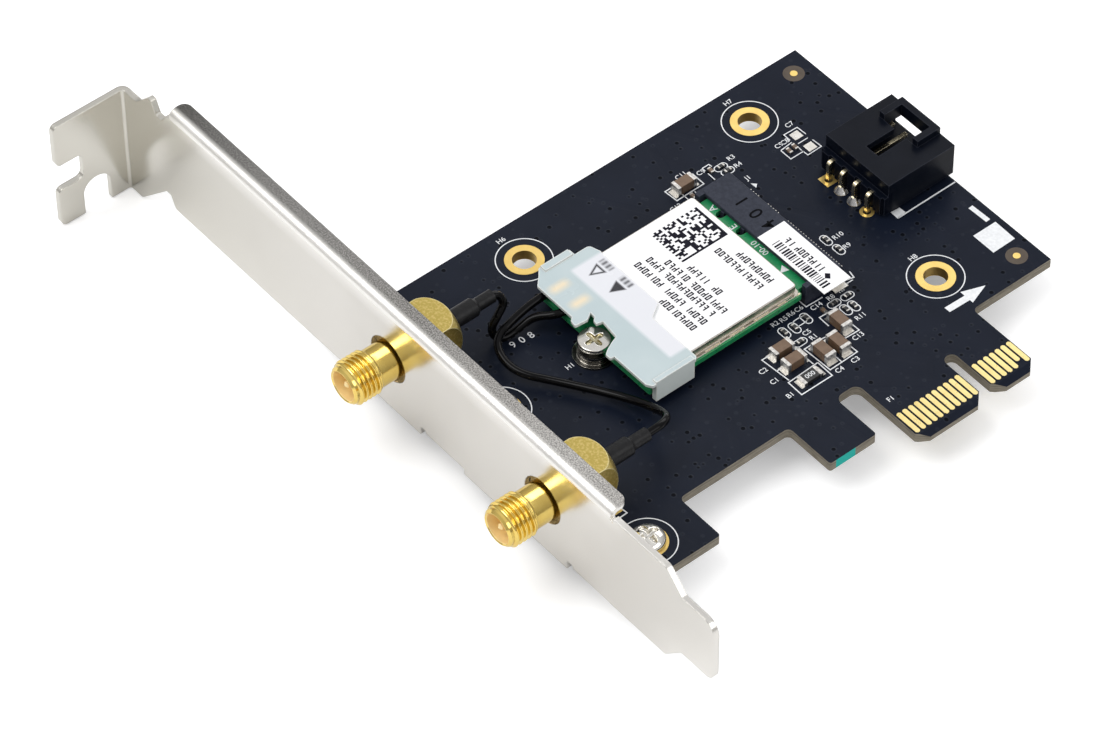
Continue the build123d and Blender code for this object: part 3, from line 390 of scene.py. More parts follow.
def jack_material():
    """Gold plate: polished barrel, a bore painted brighter, and a block behind the bracket with painted
    glints, painted edge highlights and painted shade on its face in the bracket's hole.
    """
    material = metal(
        "jack_gold", (0.91, 0.685, 0.20), (0.86, 0.62, 0.165), 2.4, (0.10, 0.17), 0.001, 0.5
    )
    tree, shader, (base, gloss, normal) = parts_of(material)
    x, y, z = position(tree)
    behind = ranged(tree, y, BRACKET_IN - 0.05, BRACKET_IN + 0.05)
    speck = noise(tree, spread(tree), 0.3, 2.0)
    relief = bumped(tree, product(tree, speck, behind), 0.015, normal)
    tree.links.new(relief, shader.inputs["Normal"])
    # Painted glints: lighter specks on the block behind the bracket
    glint_specks = ranged(tree, noise(tree, spread(tree), 0.34, 2.0), 0.45, 0.66)
    matt = mixed(tree, glint_specks, (0.52, 0.395, 0.105), (0.66, 0.52, 0.185))
    # Painted highlight along the block's sharp edges
    matt = mixed(tree, product(tree, near_edge(tree, 0.24, 0.97), 0.9), matt, (1.0, 0.90, 0.50))
    base = mixed(tree, behind, base, matt)
    # Painted shade: the block's face seen through the bracket's hole is darker
    seat_shade = between(tree, y, BRACKET_IN - 0.03, BRACKET_IN + 0.03)
    base = mixed(tree, seat_shade, base, (0.34, 0.235, 0.075))
    # Painted light: the bore's wall is lighter and less metallic than the rest of the plate
    gaps = [distance(tree, x, z, (jack, JACK_Z)) for jack in JACK_X]
    inner = greatest(tree, [maths(tree, "LESS_THAN", gap, BORE_R + 0.04) for gap in gaps])
    inner = product(tree, inner, maths(tree, "LESS_THAN", y, BRACKET_IN - THREAD_BACK))
    base = mixed(tree, inner, base, (1.0, 0.80, 0.40))
    tree.links.new(base, shader.inputs["Base Color"])
    tree.links.new(ranged(tree, inner, 0, 1, 1, 0.35), shader.inputs["Metallic"])
    rough = mixed_value(tree, behind, gloss, 0.36)
    tree.links.new(mixed_value(tree, inner, rough, 0.45), shader.inputs["Roughness"])
    return material


def chrome_material():
    """Bright plate of the screws, with painted shade, darker and yellowish, in the flat one's recess."""
    material = metal("screw_chrome", (0.80, 0.78, 0.73), (0.72, 0.70, 0.65), 1.6, (0.10, 0.17), 0.0006, 0.3)
    tree, shader, (base, _, _) = parts_of(material)
    x, y, z = position(tree)
    # Painted shade: the flat screw's recess is darker and yellowish
    height = between(tree, z, MODULE_TOP + 0.15, MODULE_TOP + 0.6)
    recess = product(tree, height, maths(tree, "LESS_THAN", distance(tree, x, y, MODULE_SCREW), 1.6))
    tree.links.new(mixed(tree, recess, base, (0.50, 0.45, 0.30)), shader.inputs["Base Color"])
    return material


def header_material():
    """Black plastic of the cable header, dull on the low wall behind its pins."""
    material = surface(
        "header_plastic", (0.0024, 0.0036, 0.0075), (0.0038, 0.0052, 0.0098), 4.0, (0.28, 0.40), 0.006, 0.35
    )
    tree, shader, _ = parts_of(material)
    _, y, z = position(tree)
    low_wall = product(tree, ranged(tree, y, 11.6, 11.2), ranged(tree, z, 4.4, 4.0))
    tree.links.new(ranged(tree, low_wall, 0, 1, 0.085, 0.012), shader.inputs["Specular IOR Level"])
    # Painted highlights along the sharp edges
    return edge_highlights(material, (0.050, 0.056, 0.075), 0.12, 0.6)


def chip_material(name, node, body, body_shade, end_cap):
    """Chip part: ceramic body between tinned end caps, split at the node's own place."""
    material = surface(name, body, body_shade, 0.8, (0.35, 0.5), 0.004, 0.08)
    tree, shader, (base, gloss, _) = parts_of(material)
    low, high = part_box(node)
    along = 0 if high[0] - low[0] > high[1] - low[1] else 1
    axes = position(tree)
    start = low[along] / MM + end_cap
    end = high[along] / MM - end_cap
    middle = between(tree, axes[along], start, end)
    blotch = noise(tree, spread(tree), 0.35)
    tin = mixed(tree, ranged(tree, blotch, 0.35, 0.65), (0.52, 0.50, 0.47), (0.78, 0.76, 0.73))
    tree.links.new(mixed(tree, middle, tin, base), shader.inputs["Base Color"])
    tree.links.new(mixed_value(tree, middle, 0.34, gloss), shader.inputs["Roughness"])
    tree.links.new(ranged(tree, middle, 0, 1, 1, 0), shader.inputs["Metallic"])
    return soft_edges(material, 0.12)


def soft_box(tree, x, y, left, right, near, far, soft):
    """About 1 inside the limits in x and y, fading over soft to each side of them."""
    return product(
        tree,
        ranged(tree, x, left - soft, left + soft),
        ranged(tree, x, right + soft, right - soft),
        ranged(tree, y, near - soft, near + soft),
        ranged(tree, y, far + soft, far - soft),
    )


def soft_triangle(tree, x, y, middle, tip, base, half, hollow):
    """Soft triangle with its tip towards -Y, or only its outline."""
    out = maths(tree, "ABSOLUTE", maths(tree, "SUBTRACT", x, middle))
    reach = ranged(tree, y, tip, base, 0, half)
    depth = maths(tree, "SUBTRACT", reach, out)
    depth = maths(tree, "MINIMUM", depth, maths(tree, "SUBTRACT", base, y))
    whole = product(tree, ranged(tree, depth, -0.12, 0.14), ranged(tree, y, tip - 0.12, tip + 0.12))
    if not hollow:
        return whole
    return product(tree, whole, ranged(tree, depth, 0.42, 0.20))


# What shows through the retainer: the label's limits, the plugs and the label's two arrows
LABEL_SEEN = (-48.2, -28.4, -30.05, -20.0)
PLUGS_SEEN = [(-46.98, -34.4, -31.6), (-43.25, -34.0, -31.3)]
ARROWS_SEEN = [(-46.0, -28.85, True), (-42.05, -28.75, False)]


def clear_material():
    """Milky clear plastic of the retainer: the label, its marks and the plugs show through as blurs."""
    material = surface(
        "clear_plastic", (0.47, 0.555, 0.575), (0.52, 0.60, 0.615), 9.0, (0.20, 0.28), 0.002, 1.5,
        Alpha=0.92, Specular_IOR_Level=0.5,
    )
    tree, shader, (base, _, _) = parts_of(material)
    x, y, _ = position(tree)
    base = mixed(tree, soft_box(tree, x, y, *LABEL_SEEN, 0.28), base, (0.735, 0.745, 0.785))
    for middle, near, far in PLUGS_SEEN:
        plug = soft_box(tree, x, y, middle - 0.5, middle + 0.5, near, far, 0.6)
        base = mixed(tree, plug, base, (0.84, 0.70, 0.48))
    for middle, tip, hollow in ARROWS_SEEN:
        mark = soft_triangle(tree, x, y, middle, tip, -26.68, 1.05, hollow)
        base = mixed(tree, mark, base, (0.030, 0.030, 0.036))
        bars = soft_box(tree, x, y, middle - 1.1, middle + 1.1, -26.3, -25.35, 0.16)
        stripes = maths(tree, "SINE", product(tree, x, 8.5))
        bars = product(tree, bars, ranged(tree, stripes, -1.2, 0.9, 0.2, 0.9))
        base = mixed(tree, bars, base, (0.09, 0.09, 0.10))
    base = mixed(tree, product(tree, on_walls(tree), 0.75), base, (0.68, 0.73, 0.71))
    # Painted highlight along the sharp edges
    base = mixed(tree, product(tree, near_edge(tree, 0.28), 0.9), base, (0.90, 0.89, 0.84))
    tree.links.new(base, shader.inputs["Base Color"])
    return soft_edges(material, 0.15)


def metal_looks():
    """Looks of bare and plated metal."""
    land = surface(
        "gold_land", (0.86, 0.62, 0.20), (0.80, 0.56, 0.17), 1.5, (0.30, 0.42), 0.004, 0.4, Metallic=0.75
    )
    pin = metal("pin_plate", (0.92, 0.82, 0.58), (0.84, 0.74, 0.50), 0.8, (0.18, 0.28), 0.004, 0.3)
    spacer = metal("spacer_steel", (0.20, 0.19, 0.175), (0.15, 0.145, 0.13), 1.0, (0.16, 0.24), 0.002, 0.3)
    can = metal("can_steel", (0.64, 0.60, 0.54), (0.54, 0.50, 0.44), 2.5, (0.26, 0.36), 0.004, 0.2)
    return {
        "gold": metal("gold_plate", (0.80, 0.58, 0.22), (0.74, 0.52, 0.18), 1.5, (0.26, 0.36), 0.003, 0.2),
        "finger": metal(
            "contact_gold", (0.94, 0.775, 0.35), (0.90, 0.72, 0.30), 1.5, (0.26, 0.36), 0.002, 0.3
        ),
        "land": soft_edges(land, 0.05),
        "pin": soft_edges(pin, 0.1),
        "tin": metal("tin_plate", (0.66, 0.64, 0.60), (0.56, 0.54, 0.50), 1.0, (0.26, 0.40), 0.006, 0.2),
        # Painted highlights along the spacer's sharp edges
        "spacer": edge_highlights(spacer, (0.94, 0.91, 0.84), 0.12, 0.95),
        "solder": metal("solder", (0.72, 0.71, 0.70), (0.60, 0.59, 0.58), 0.8, (0.18, 0.30), 0.01, 0.3),
        "can": soft_edges(can, 0.15),
        "bracket": bracket_material(),
        "jack": jack_material(),
        "chrome": chrome_material(),
    }


def plastic_looks():
    """Looks of plastics and boards, and of the small parts' ceramic."""
    ceramic = surface(
        "capacitor_body", (0.125, 0.082, 0.055), (0.160, 0.108, 0.072), 0.5, (0.4, 0.5), 0.003, 0.1
    )
    film = surface(
        "resistor_body", (0.012, 0.012, 0.013), (0.022, 0.022, 0.024), 0.5, (0.3, 0.4), 0.003, 0.1
    )
    module = surface(
        "module_green", (0.012, 0.255, 0.090), (0.009, 0.195, 0.066), 1.6, (0.25, 0.36), 0.004, 0.5
    )
    socket = surface(
        "socket_plastic", (0.017, 0.0205, 0.033), (0.026, 0.030, 0.046), 0.5, (0.42, 0.55), 0.008, 0.25,
        Specular_IOR_Level=0.22,
    )
    return {
        "board": board_material(),
        "ceramic": soft_edges(ceramic, 0.05),
        "film": soft_edges(film, 0.05),
        "insulator": surface(
            "insulator", (0.95, 0.72, 0.33), (0.88, 0.64, 0.27), 1.0, (0.35, 0.45), 0.002, 0.15, Metallic=0.4
        ),
        "sleeve": surface(
            "sleeve_black", (0.0042, 0.0042, 0.0048), (0.0075, 0.0075, 0.0085), 0.8, (0.34, 0.46), 0.05, 0.5,
            Specular_IOR_Level=0.24,
        ),
        "cable": surface(
            "cable_black", (0.0012, 0.0012, 0.0015), (0.0022, 0.0022, 0.0026), 1.0, (0.07, 0.12), 0.003, 0.5,
            Specular_IOR_Level=0.13,
        ),
        # Painted highlights along the sharp edges of the module and the socket
        "module": edge_highlights(module, (0.20, 0.36, 0.16), 0.1, 0.5),
        "socket": edge_highlights(socket, (0.10, 0.115, 0.15), 0.1, 0.4),
        "header": header_material(),
        "clear": clear_material(),
    }


def print_looks():
    """Looks of paper, print and bare laminate."""
    return {
        "paper": surface(
            "label_paper", (0.88, 0.88, 0.885), (0.84, 0.84, 0.85), 3.0, (0.5, 0.62), 0.003, 0.15
        ),
        "silk": surface("silk_white", (0.77, 0.785, 0.80), (0.67, 0.685, 0.70), 0.5, (0.5, 0.6), 0.004, 0.1),
        "ink": surface(
            "print_black", (0.0055, 0.0055, 0.011), (0.010, 0.010, 0.018), 0.4, (0.5, 0.6), 0.001, 0.2,
            Specular_IOR_Level=0.08,
        ),
        "bare": surface(
            "bare_laminate", (0.056, 0.040, 0.026), (0.070, 0.051, 0.034), 0.8, (0.5, 0.6), 0.004, 0.15
        ),
        "faint": surface(
            "moulded_mark", (0.0028, 0.0030, 0.0040), (0.0045, 0.0048, 0.006), 0.4, (0.6, 0.7), 0.001, 0.2,
            Specular_IOR_Level=0.03,
        ),
    }


# Which material each carried-over CAD node gets, by the start of its name
NODE_LOOKS = [
    ("board", "board"),
    ("edge_contacts", "finger"),
    ("hole_ring", "land"),
    ("screw_ring", "land"),
    ("fiducials", "land"),
    ("bracket", "bracket"),
    ("jack_insulator", "insulator"),
    ("jack_pin", "jack"),
    ("jack_sleeve", "sleeve"),
    ("pigtail_plug", "gold"),
    ("receptacle", "gold"),
    ("module_board", "module"),
    ("module_contacts", "gold"),
    ("module_label", "paper"),
    ("shield", "can"),
    ("socket_housing", "socket"),
    ("socket_contacts", "tin"),
    ("socket_solder_tabs", "tin"),
    ("socket_label", "paper"),
    ("standoff", "spacer"),
    ("retainer", "clear"),
    ("header_housing", "header"),
    ("header_lands", "land"),
    ("header_solder", "solder"),
    ("header_pin", "pin"),
    ("spare_lands", "tin"),
    ("ground_land", "land"),
    ("small_resistors", "film"),
    ("small_capacitors", "ceramic"),
    ("small_chip_caps", "tin"),
]


REPLACED_NODES = ("jack_shell", "pigtail_1", "pigtail_2", "foot_screw", "module_screw")

# Bodies and end caps of the larger chip parts: two colours and the cap's length
CAPACITOR_LOOK = ((0.155, 0.096, 0.058), (0.125, 0.076, 0.045), 0.5)
RESISTOR_LOOK = ((0.010, 0.010, 0.011), (0.02, 0.02, 0.021), 0.5)


def dress_nodes(looks):
    """Gives every carried-over CAD node its material."""
    for name, node in nodes.items():
        if name.startswith(REPLACED_NODES):
            continue
        if name.startswith("capacitor"):
            material = chip_material(name + "_ceramic", name, *CAPACITOR_LOOK)
        elif name.startswith("chip_resistor"):
            material = chip_material(name + "_film", name, *RESISTOR_LOOK)
        else:
            material = looks[next(look for start, look in NODE_LOOKS if name.startswith(start))]
        node.data.materials.clear()
        node.data.materials.append(material)


# Pieces in mesh code


def add_object(name, data, material):
    data.materials.append(material)
    made = bpy.data.objects.new(name, data)
    bpy.context.collection.objects.link(made)
    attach(made, "root")
    return made


def add_mesh(name, mesh, material):
    data = bpy.data.meshes.new(name)
    mesh.to_mesh(data)
    mesh.free()
    return add_object(name, data, material)


def bridge(mesh, rings):
    """Smooth faces between neighbouring rings of equally many vertices."""
    for low, high in zip(rings, rings[1:]):
        for step in range(len(low)):
            after = (step + 1) % len(low)
            mesh.faces.new((low[step], low[after], high[after], high[step])).smooth = True


OVAL_LENGTH = 2.0
OVAL_WIDTH = 1.1
OVAL_STROKE = 0.14

# Outlined small parts: centre and the way each lies
SMALL_PARTS = [
    (-25.32, -10.53, "y"),
    (-52.85, -0.25, "y"),
    (-51.73, 0.0, "y"),
    (-33.9, 1.6, "x"),
    (-31.6, 1.8, "x"),
    (-24.7, -2.85, "y"),
    (-24.8, -5.05, "y"),
    (-22.85, -3.35, "x"),
    (-23.0, -4.6, "x"),
    (-25.2, -9.55, "x"),
    (-24.9, -11.8, "x"),
    (-25.1, -13.4, "x"),
    (-22.55, -12.9, "y"),
]

# Generic references printed by the parts and holes
BOARD_REFERENCES = [
    ("R5", -26.96, -11.9),
    ("R6", -27.06, -10.55),
    ("C6", -27.05, -9.2),
    ("F1", -7.8, -10.5),
    ("C2", -21.86, -19.84),
    ("C1", -19.63, -19.87),
    ("B1", -16.52, -19.9),
    ("C4", -15.73, -12.17),
    ("C3", -15.72, -9.47),
    ("C13", -18.54, -6.46),
    ("C14", -25.95, -7.12),
    ("R7", -26.03, -2.71),
    ("R8", -25.89, -4.7),
    ("R11", -20.95, -3.9),
    ("R1", -22.16, -10.97),
    ("C5", -23.28, -11.13),
    ("R2", -27.05, -13.3),
    ("H6", -61.3, -31.07),
    ("H7", -61.33, 8.34),
    ("H8", -24.27, 8.24),
    ("H1", -38.47, -38.3),
    ("J1", -49.08, 1.24),
    ("R10", -33.53, 3.36),
    ("R9", -31.42, 3.07),
    ("R3", -53.32, 1.93),
    ("R4", -51.74, 1.8),
    ("C9", -53.84, -2.9),
    ("C11", -55.08, -5.31),
    ("C12", -51.06, -9.62),
    ("C7", -52.94, 11.93),
    ("C8", -50.9, 9.38),
    ("C9", -50.9, 8.31),
]


# Size of the font over the height of its capitals
FONT_PER_CAPITAL = 1.35


class Print:
    """Flat printing gathered into one mesh, in millimetres at one height."""

    def __init__(self, height):
        self.mesh = bmesh.new()
        self.height = height

    def area(self, corners):
        """Filled polygon."""
        made = [self.mesh.verts.new((x * MM, y * MM, self.height * MM)) for x, y in corners]
        face = self.mesh.faces.new(made)
        face.normal_update()
        if face.normal.z < 0:
            face.normal_flip()

    def bar(self, x0, y0, x1, y1):
        self.area([(x0, y0), (x1, y0), (x1, y1), (x0, y1)])

    def line(self, points, width, closed=False):
        """Stroke through the points, with mitred corners."""
        spots = [Vector(p) for p in points]
        count = len(spots)
        left, right = [], []
        for index, spot in enumerate(spots):
            before = spots[index - 1] if index or closed else None
            after = spots[(index + 1) % count] if index < count - 1 or closed else None
            ways = []
            if before is not None:
                ways.append((spot - before).normalized())
            if after is not None:
                ways.append((after - spot).normalized())
            sides = [Vector((-w.y, w.x)) for w in ways]
            mitre = (sides[0] + sides[-1]).normalized()
            reach = width / 2 / max(mitre.dot(sides[0]), 0.4)
            left.append(spot + mitre * reach)
            right.append(spot - mitre * reach)
        for index in range(count if closed else count - 1):
            after = (index + 1) % count
            self.area([left[index], left[after], right[after], right[index]])

    def ring(self, x, y, radius, width, steps):
        turns = [2 * math.pi * step / steps for step in range(steps)]
        spots = [(x + radius * math.cos(turn), y + radius * math.sin(turn)) for turn in turns]
        self.line(spots, width, closed=True)

    def oval(self, x, y, along):
        """Rounded slot outline about one small part."""
        half = (OVAL_LENGTH - OVAL_WIDTH) / 2
        radius = OVAL_WIDTH / 2
        steps = 8
        spots = []
        for side, start in ((1, -90), (-1, 90)):
            for step in range(steps + 1):
                angle = math.radians(start + 180 * step / steps)
                spots.append((side * half + radius * math.cos(angle), radius * math.sin(angle)))
        if along == "y":
            spots = [(-b, a) for a, b in spots]
        self.line([(x + a, y + b) for a, b in spots], OVAL_STROKE, closed=True)

    def letters(self, text, x, y, size, turn=90.0):
        """Short generic reference, centred at x, y."""
        curve = bpy.data.curves.new("letters", "FONT")
        curve.body = text
        curve.size = size * MM * FONT_PER_CAPITAL
        curve.resolution_u = 3
        curve.align_x = "CENTER"
        curve.align_y = "CENTER"
        curve.offset = 0.008 * size * MM
        holder = bpy.data.objects.new("letters", curve)
        bpy.context.collection.objects.link(holder)
        bpy.context.view_layer.update()
        flat = bpy.data.meshes.new_from_object(holder)
        flat.transform(Matrix.Rotation(math.radians(turn), 4, "Z"))
        flat.transform(Matrix.Translation((x * MM, y * MM, self.height * MM)))
        self.mesh.from_mesh(flat)
        bpy.data.objects.remove(holder)
        bpy.data.curves.remove(curve)
        bpy.data.meshes.remove(flat)

    def finish(self, name, material):
        return add_mesh(name, self.mesh, material)


# Strokes printed on the board, as width and points: the mark at the bare land, the line by the header, the
# frames of the larger chip parts, unused pads and socket, and the bar by the square
BOARD_STROKES = [
    (0.2, [(-16.3, -48.78), (-14.88, -48.65), (-14.82, -50.36)]),
    (0.22, [(-30.85, 21.74), (-30.82, 11.55)]),
    (0.17, [(-18.55, -18.35), (-23.42, -18.72), (-23.38, -17.5)]),
    (0.17, [(-23.42, -14.6), (-23.42, -14.15), (-18.63, -14.1)]),
    (0.17, [(-20.75, -18.5), (-20.9, -14.12)]),
    (0.17, [(-18.48, -13.5), (-18.3, -18.68), (-15.65, -18.73), (-15.62, -13.54), (-18.48, -13.5)]),
    (0.17, [(-21.31, -12.1), (-21.31, -13.3), (-16.5, -13.1), (-16.6, -8.35), (-18.23, -8.4)]),
    (0.17, [(-21.07, -9.45), (-21.31, -10.75)]),
    (0.17, [(-16.6, -11.05), (-18.1, -11.05)]),
    (0.17, [(-22.3, -8.2), (-24.2, -8.15), (-24.1, -5.75), (-19.26, -5.65), (-19.36, -8.03), (-20.5, -8.1)]),
    (0.15, [(-53.65, -2.31), (-54.28, -2.25), (-54.28, -1.15), (-53.73, -1.07)]),
    (0.15, [(-53.09, -2.3), (-51.63, -2.33)]),
    (0.17, [(-26.4, -0.4), (-26.4, -2.3)]),
    (0.15, [(-52.6, -7.4), (-50.4, -7.4), (-50.4, -5.8), (-51.7, -5.8)]),
    (0.15, [(-50.2, 12.47), (-51.9, 12.4), (-51.97, 10.1), (-50.7, 10.07)]),
    (0.15, [(-49.52, 10.47), (-49.52, 12.2)]),
    (0.15, [(-48.86, 12.46), (-47.17, 12.55), (-47.11, 10.1), (-48.29, 10.05)]),
    (0.15, [(-50.05, 7.9), (-50.25, 10.0)]),
    (0.15, [(-50.02, 7.87), (-48.01, 7.87), (-48.01, 10.03), (-49.1, 10.05)]),
    (0.17, [(-28.06, -8.21), (-26.72, -8.22), (-26.62, -5.44)]),
    (0.17, [(-26.89, -1.04), (-26.63, 0.01), (-27.77, 0.26)]),
    (0.75, [(-26.2, 20.2), (-22.85, 20.3)]),
]

# Filled shapes: patch by the header, square, the arrow's shaft and head, mark of the socket's first contact
BOARD_PATCHES = [
    [(-32.24, 11.47), (-30.76, 11.42), (-31.0, 13.0), (-32.1, 12.96)],
    [(-22.09, 20.88), (-18.22, 20.79), (-18.16, 16.9), (-22.1, 16.92)],
    [(-15.06, 5.4), (-14.05, 5.43), (-13.95, 8.85), (-14.95, 8.85)],
    [(-15.78, 8.85), (-13.36, 8.85), (-14.54, 12.17)],
    [(-48.08, 0.83), (-46.99, 0.87), (-47.46, 1.45)],
]

# Frame round the capacitor beside the module
CAPACITOR_FRAME = [(-54.2, -8.84), (-51.94, -8.69), (-52.0, -3.94), (-54.3, -3.93)]
HOLE_RING_R = 3.82
REFERENCE_SIZE = 0.8


def print_board(silk):
    """White printing on the component side."""
    ink = Print(INK)
    for x, y in HOLES:
        ink.ring(x, y, HOLE_RING_R, 0.15, 96)
    for width, points in BOARD_STROKES:
        ink.line(points, width)
    for corners in BOARD_PATCHES:
        ink.area(corners)
    ink.line(CAPACITOR_FRAME, 0.17, closed=True)
    for x, y, along in SMALL_PARTS:
        ink.oval(x, y, along)
    # Row of square dots behind the socket
    first, pitch, half = -46.6, 0.5, 0.09
    for dot in range(40):
        x = first + dot * pitch
        ink.bar(x - half, -0.53 - half, x + half, -0.53 + half)
    for text, x, y in BOARD_REFERENCES:
        ink.letters(text, x, y, REFERENCE_SIZE)
    # Three digits by the pigtails, in a row that runs slightly askew
    for index, text in enumerate("908"):
        ink.letters(text, -46.05 + 0.1 * index, -41.55 + 1.43 * index, 1.15)
    return ink.finish("board_printing", silk)


def print_chip_lands(tin):
    """Tinned lands that reach past the ends of the larger chip parts."""
    ink = Print(INK * 0.6)
    past, under = 0.45, 0.3
    for name in ["capacitor_%d" % number for number in range(1, 7)] + ["chip_resistor"]:
        low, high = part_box(name)
        left, near, right, far = low[0] / MM, low[1] / MM, high[0] / MM, high[1] / MM
        if right - left > far - near:
            ink.bar(left - past, near, left + under, far)
            ink.bar(right - under, near, right + past, far)
        else:
            ink.bar(left, near - past, right, near + under)
            ink.bar(left, far - under, right, far + past)
    return ink.finish("chip_lands", tin)


def print_bare_rings(bare):
    """Laminate left bare of solder mask round each fiducial dot."""
    ink = Print(INK * 0.6)
    for x, y in FIDUCIALS:
        ink.ring(x, y, (MASK_OPENING_R + FIDUCIAL_R) / 2, MASK_OPENING_R - FIDUCIAL_R, 48)
    return ink.finish("fiducial_surrounds", bare)


# The label's square code: cells a side, corner and size; then its rows of print: right end, base, length
CODE_CELLS = 20
CODE_CORNER = (-46.67, -17.74)
CODE_SIZE = (6.4, 7.8)
LABEL_ROWS = [
    (-30.35, -11.65, 6.1),
    (-30.37, -13.4, 8.5),
    (-33.0, -18.1, 5.65),
    (-30.15, -19.75, 11.7),
    (-30.22, -21.25, 13.4),
    (-30.33, -23.0, 13.4),
    (-30.43, -24.7, 7.0),
]


def print_module_label(ink_material):
    """Made-up printing on the can's label: a square code, rows of dashes and two arrow marks."""
    ink = Print(LABEL_TOP + INK)
    chance = random.Random(7)
    wide, tall = CODE_SIZE[0] / CODE_CELLS, CODE_SIZE[1] / CODE_CELLS
    last = CODE_CELLS - 1
    for row in range(CODE_CELLS):
        for column in range(CODE_CELLS):
            border = row == last or column == last
            dashed = (row == 0 and column % 2) or (column == 0 and row % 2)
            inner = row and column and chance.random() < 0.47
            if border or dashed or inner:
                x = CODE_CORNER[0] + column * wide
                y = CODE_CORNER[1] + row * tall
                ink.bar(x, y, x + wide, y + tall)
    for right, y, length in LABEL_ROWS:
        print_dashes(ink, chance, right, y, length)
    ink.line([(-46.95, -26.8), (-45.05, -26.8), (-46.0, -28.6)], 0.2, closed=True)
    ink.area([(-43.05, -26.7), (-41.1, -26.7), (-42.05, -28.7)])
    return ink.finish("module_label_printing", ink_material)


def print_dashes(ink, chance, right, y, length):
    """Row of small upright strokes in groups, which stands for a line of print."""
    tall, wide, stem, pitch = 1.08, 0.55, 0.2, 0.75
    short = wide - 0.05
    top = y + tall
    middle = y + tall * 0.42
    x = right
    while x > right - length:
        kind = chance.randrange(4)
        if kind == 3 and chance.random() < 0.4:
            x -= wide
            continue
        ink.bar(x - stem, y, x, top)
        if kind == 0:
            ink.bar(x - wide, y, x - stem, y + stem)
            ink.bar(x - wide, top - stem, x - stem, top)
            ink.bar(x - wide, y + stem, x - wide + stem, top - stem)
        elif kind == 1:
            ink.bar(x - wide, middle, x - stem, y + tall * 0.6)
            ink.bar(x - wide, y, x - wide + stem, middle)
        elif kind == 2:
            ink.bar(x - short, top - stem, x - stem, top)
            ink.bar(x - short, middle, x - stem, y + tall * 0.58)
        x -= pitch


def print_socket(ink_material, mark_material):
    """Bars, dashes and a diamond on the socket's label, and moulded numbers on its housing."""
    ink = Print(SOCKET_LABEL_TOP + INK)
    chance = random.Random(3)
    x = -35.6
    while x < -25.8:
        width = chance.choice((0.12, 0.2, 0.3))
        ink.bar(x, -6.5, x + width, -5.15)
        x += width + chance.choice((0.15, 0.21, 0.3))
    print_dashes(ink, chance, -28.1, -4.85, 7.3)
    ink.area([(-26.9, -4.0), (-26.2, -4.6), (-26.7, -5.1), (-27.4, -4.5)])
    ink.finish("socket_label_printing", ink_material)
    mark = Print(SOCKET_TOP + INK)
    for text, x in (("1", -44.1), ("0", -41.25), ("4", -38.6)):
        mark.letters(text, x, -4.17, 2.1, 180)
    mark.finish("socket_numbers", mark_material)


# Near and far ends of the lands along the can's side
SIDE_LANDS = [(-25.0, -21.9), (-21.0, -17.85), (-16.9, -13.8), (-12.85, -10.9), (-9.95, -8.7)]
SIDE_LAND_X = (-27.66, -27.34)


def print_module_board(silk, plate):
    """Key letters, numbers and arrow between the can and the socket, and the lands beside the can."""
    ink = Print(MODULE_TOP + INK)
    ink.letters("A", -46.2, -7.45, 1.15, 180)
    ink.letters("E", -41.95, -7.5, 1.15, 180)
    ink.letters("00-10", -36.9, -7.35, 0.95, 180)
    ink.area([(-32.75, -7.2), (-31.45, -7.05), (-31.8, -8.3)])
    ink.finish("module_board_printing", silk)
    land = Print(MODULE_TOP + INK)
    for near, far in SIDE_LANDS:
        land.bar(SIDE_LAND_X[0], near, SIDE_LAND_X[1], far)
    land.finish("module_board_lands", plate)


def print_resistor(silk):
    """Three noughts on the large chip resistor."""
    low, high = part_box("chip_resistor")
    ink = Print(high[2] / MM + INK)
    x = (low[0] + high[0]) / 2 / MM
    y = (low[1] + high[1]) / 2 / MM
    ink.letters("000", x, y, 0.75)
    return ink.finish("resistor_printing", silk)


def thread_radius(turns, height):
    """Radius of the screw thread at a height along it, fading in and out at its ends."""
    phase = (height / THREAD_PITCH - turns) % 1.0
    groove = min(max(abs(phase - 0.5) * 3.2 - 0.25, 0.0), 1.0)
    length = THREAD_FRONT - THREAD_BACK
    fade = max(min(height / 0.5, (length - height) / 0.35, 1.0), 0.0)
    return THREAD_R - (THREAD_R - THREAD_ROOT) * groove * (0.35 + 0.65 * fade)


def make_jack(number, x, material):
    """Jack shell with its screw thread cut as a helix into the CAD form."""
    node = nodes["jack_shell_%d" % number]
    mesh = bmesh.new()
    mesh.from_mesh(node.data)
    centre = Vector((x * MM, 0, JACK_Z * MM))
    back = THREAD_BACK - 0.4
    front = THREAD_FRONT + 0.2

    def on_thread(vert):
        """Whether a vertex lies on the plain barrel that the thread replaces."""
        gap = vert.co - centre
        along = BRACKET_IN - gap.y / MM
        radius = math.hypot(gap.x, gap.z) / MM
        return back - 0.01 < along < front + 0.01 and radius > LIP_R - 0.02

    cut = [face for face in mesh.faces if all(on_thread(vert) for vert in face.verts)]
    bmesh.ops.delete(mesh, geom=cut, context="FACES")
    steps = 72
    rows = 64

    def ring_of(along, radii):
        """Ring of vertices at a distance in front of the bracket's inner face."""
        ring = []
        for step, radius in enumerate(radii):
            angle = 2 * math.pi * step / steps
            across = (x + radius * math.cos(angle)) * MM
            height = (JACK_Z + radius * math.sin(angle)) * MM
            ring.append(mesh.verts.new((across, (BRACKET_IN - along) * MM, height)))
        return ring

    rings = [ring_of(back, [BARREL_R] * steps)]
    for row in range(rows + 1):
        height = row / rows * (THREAD_FRONT - THREAD_BACK)
        radii = [thread_radius(step / steps, height) for step in range(steps)]
        rings.append(ring_of(THREAD_BACK + height, radii))
    rings.append(ring_of(front, [LIP_R] * steps))
    bridge(mesh, rings)
    bmesh.ops.recalc_face_normals(mesh, faces=mesh.faces)
    made = add_mesh("threaded_jack_%d" % number, mesh, material)
    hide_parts("jack_shell_%d" % number)


